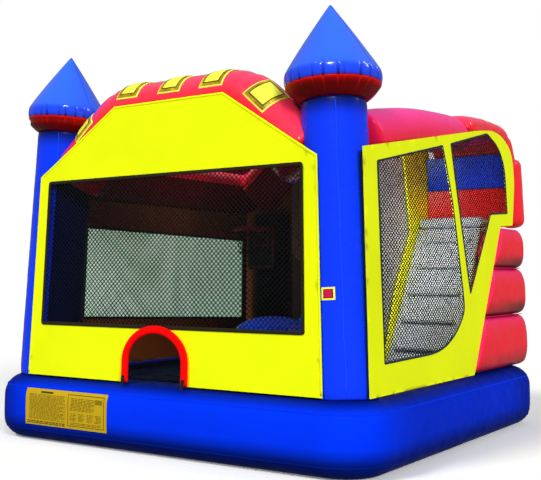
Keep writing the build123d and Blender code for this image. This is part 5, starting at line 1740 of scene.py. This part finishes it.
def make_anchors():
    for name, (wall, along) in ANCHORS.items():
        def at(u, v, out, wall=wall, along=along):
            return wall_point(wall, along, u, out, v)
        turn = ANCHOR_Z - 0.024
        d_line = [(RING_R, ANCHOR_Z), (-RING_R, ANCHOR_Z), (-RING_R, turn)]
        d_line += [(-RING_R * math.cos(a), turn - RING_R * math.sin(a))
                   for a in (math.pi * k / 12 for k in range(1, 12))]
        d_line += [(RING_R, turn)]
        d_line = spaced(rounded(d_line, [0.006, 0.006] + [0] * 13), 0.005, closed=True)
        loop = [at(u, v, RING_OUT) for u, v in d_line]
        ring = sweep(f"{name}_wire", loop, oval(RING_WIRE, RING_WIRE), 12, up=(1, 1, 0.2), closed=True)
        keep(ring, "steel", [name], body=name)
        outline = rounded([(-PATCH_X, PATCH_LOW), (PATCH_X, PATCH_LOW), (PATCH_X, PATCH_TOP),
                           (-PATCH_X, PATCH_TOP)], [0.02] * 4)
        patch_obj = cloth(f"{name}_patch", outline, [], lambda u, v, w, at=at: at(u, v, 0.0105 + w),
                          thick=0.002, step=0.02)
        keep(patch_obj, "base_patch", sheet=laid((0.17, 0.13), "base_tube"))
        drop = [(0.375, 0.0135), (0.345, 0.0145), (0.325, 0.019)]
        drop += [(ANCHOR_Z + BIGHT_R * math.cos(a), RING_OUT + BIGHT_R * math.sin(a))
                 for a in (math.pi * (0.15 + 0.7 * k / 8) for k in range(9))]
        drop += [(0.318, 0.0125), (0.345, 0.0122), (0.375, 0.0118)]
        front = [[at(s * 0.021, z, out + 0.002) for s in (-1, -0.5, 0, 0.5, 1)] for z, out in drop]
        web = skin(f"{name}_webbing", front, wrap=False)
        solid = web.modifiers.new("thickness", "SOLIDIFY")
        solid.thickness = 0.0025
        keep(web, "webbing", ["webbing_loops"])
        marks, faces = [], []
        for k in range(16):
            for s in (-1, 1):
                z0 = 0.335 + STITCH_STEP * k
                base = len(marks)
                u0, u1, z1 = s * 0.016 - 0.0008, s * 0.016 + 0.0008, z0 + STITCH_LONG
                marks += [at(u, z, 0.0185) for u, z in ((u0, z0), (u1, z0), (u1, z1), (u0, z1))]
                faces.append((base, base + 1, base + 2, base + 3))
        keep(from_data(f"{name}_stitches", marks, faces, outward=False), "thread")


ZIP_Y, ZIP_Z = 0.100, 0.325


def zip_point(u, v, out):
    return wall_point("left", ZIP_Y, u, out, v)


def make_zipper():
    line = [(-0.35, ZIP_Z - 0.025), (0.35, ZIP_Z - 0.025), (0.35, ZIP_Z + 0.025), (-0.35, ZIP_Z + 0.025)]
    tape = cloth("zip_tape", line, [], lambda u, v, w: zip_point(u, v, 0.0095 + w), thick=0.002, step=0.025)
    keep(tape, "webbing", ["zipper_tape"], sheet=laid((0.70, 0.05), "base_tube"))
    cube = ((0, 1, 3, 2), (4, 6, 7, 5), (0, 4, 5, 1), (2, 3, 7, 6), (0, 2, 6, 4), (1, 5, 7, 3))
    verts, faces = [], []
    for k in range(132):
        u = -0.33 + 0.005 * k
        side = 1 if k % 2 else -1
        lo = Vector((u - 0.0017, ZIP_Z - 0.0012 + side * 0.0018, 0.0105))
        hi = Vector((u + 0.0017, ZIP_Z + 0.0012 + side * 0.0018, 0.0135))
        base = len(verts)
        for c in range(8):
            verts.append(zip_point(hi.x if c & 1 else lo.x, hi.y if c & 2 else lo.y, hi.z if c & 4 else lo.z))
        faces += [tuple(base + i for i in f) for f in cube]
    keep(from_data("zip_teeth", verts, faces, smooth=False), "accent")
    lo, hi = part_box("zipper_flap")
    y0, y1 = lo.y, hi.y
    hinge_z, x = 0.380, -BASE_X - 0.019

    def flap_place(u, v, out):
        drop = (hinge_z - v) / 0.117
        wave = 0.0022 * math.sin(u * 19) * drop
        return Vector((x - out - wave - 0.001, u, v))
    outline = rounded([(y0, 0.264), (y1, 0.264), (y1, 0.381), (y0, 0.381)], [0.02, 0.02, 0.002, 0.002])
    flap = cloth("zip_flap", outline, [], flap_place, thick=0.002, step=0.025)
    keep(flap, "base_patch", ["zipper_flap"], body="zipper_flap",
         sheet=dict(flat=(0.76, 0.117), held="hung", rests_on=["zipper_tape"]))
    hem = [Vector((x, y0 + (y1 - y0) * k / 30, hinge_z)) for k in range(31)]
    hem = sweep("zip_flap_hem", hem, oval(0.0048, 0.0048), 12)
    keep(hem, "base_patch", body="zipper_flap")
    line = [(y0, ZIP_Z + 0.048), (y1, ZIP_Z + 0.048), (y1, ZIP_Z + 0.062), (y0, ZIP_Z + 0.062)]
    keeper = soft_prism("zip_flap_seat", line, -BASE_X - 0.0115, -BASE_X - 0.006, bevel=0.002, cuts=1,
                        leaning=False)
    keep(keeper, "base_patch")


SLEEVE = dict(x=-1.200, z=0.362, r=0.132)


def make_sleeve():
    """The inflation sleeve: thin cloth, gathered under its strap and slack between."""
    lo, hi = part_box("inflation_sleeve")
    strap_lo, strap_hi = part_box("sleeve_strap")
    strap_y = (strap_lo.y + strap_hi.y) / 2
    rows, count = [], 90
    for j in range(count + 1):
        y = lo.y - 0.004 + (hi.y - lo.y + 0.002) * j / count
        slack = math.sin(math.pi * min(max((y - lo.y) / (strap_lo.y - lo.y), 0), 1)) if y < strap_lo.y else 0
        row = []
        for k in range(120):
            a = 2 * math.pi * k / 120
            r = SLEEVE["r"] + 0.0015 + 0.012 * slack
            near = math.exp(-abs(y - strap_y) / 0.09) + 0.7 * math.exp(-abs(y - lo.y) / 0.06)
            inside_strap = 0.25 if strap_lo.y - 0.004 < y < strap_hi.y + 0.004 else 1.0
            r += 0.0035 * near * math.sin(26 * a + 2 * math.sin(3 * a)) * inside_strap
            r += 0.006 * slack * ripple((math.cos(a) * 1.2, math.sin(a) * 1.2, y * 3.2), 0.45)
            row.append(Vector((SLEEVE["x"] + r * math.cos(a), y, SLEEVE["z"] + r * math.sin(a))))
        rows.append(row)
    sleeve = skin("sleeve_cloth", rows, caps=False)
    solid = sleeve.modifiers.new("thickness", "SOLIDIFY")
    solid.thickness = 0.0015
    keep(sleeve, "sleeve", ["inflation_sleeve"],
         sheet=dict(flat=(0.845, hi.y - lo.y), held="gathered", rests_on=["blower_outlet", "base_tube"]))
    r = SLEEVE["r"] + 0.0065
    ring = [Vector((SLEEVE["x"] + r * math.cos(a), strap_y, SLEEVE["z"] + r * math.sin(a)))
            for a in (2 * math.pi * k / 72 for k in range(72))]
    strap = sweep("sleeve_strap_web", ring,
                  lambda s, t, a: (0.019 * puffed(math.cos(a), 0.3), 0.0018 * math.sin(a)),
                  12, up=(0, 1, 0), closed=True)
    keep(strap, "webbing", ["sleeve_strap"])


# ---- blower --------------------------------------------------------------------------------------
def dress(node, look):
    """Gives a carried-over CAD piece its material."""
    mesh = house[node].data
    mesh.materials.clear()
    mesh.materials.append(LOOK[look])
    bevel = house[node].modifiers.new("edges", "BEVEL")
    bevel.width, bevel.segments, bevel.limit_method, bevel.angle_limit = 0.0015, 2, "ANGLE", math.radians(40)


def dress_blower():
    for node, look in (("blower_housing", "shell"), ("blower_outlet", "accent"), ("inlet_grille", "switch"),
                       ("impeller", "alloy"), ("blower_motor", "alloy"), ("blower_handle", "rubber"),
                       ("blower_stand", "accent"), ("rocker", "rocker"), ("switch_box", "switch"),
                       ("buckle_frame", "steel"), ("buckle_lever", "steel"), ("zipper_slider", "steel")):
        dress(node, look)


# ---- floor of the studio -------------------------------------------------------------------------
def make_stage():
    mat = shader("studio_floor", (0.92, 0.92, 0.92), 0.9, Specular_IOR_Level=0.0, Emission_Color=(1, 1, 1, 1),
                 Emission_Strength=0.16)
    g = Graph(mat)
    g.to("Base Color", g.mix(g.span(g.noise(0.3, 2), 0.3, 0.7), (0.93, 0.93, 0.93), (0.91, 0.91, 0.91)))
    mesh = bpy.data.meshes.new("studio_floor")
    mesh.from_pydata([(-60, -60, 0), (60, -60, 0), (60, 60, 0), (-60, 60, 0)], [], [(0, 1, 2, 3)])
    floor = bpy.data.objects.new("studio_floor", mesh)
    floor.data.materials.append(mat)
    bpy.context.scene.collection.objects.link(floor)
    floor.visible_diffuse = floor.visible_glossy = False


make_camera()
make_light()
view_colours()
make_base()
make_floor()
make_towers()
make_beams()
make_bricks()
make_front_wall()
make_right_wall()
make_left_wall()
make_rear_wall()
make_roof()
make_stack()
make_climb()
make_pillar()
make_divider()
make_hood()
make_rear_column()
make_rules_panel()
make_tower_tag()
make_hoop()
make_anchors()
make_zipper()
make_sleeve()
dress_blower()
make_stage()

bpy.context.view_layer.update()
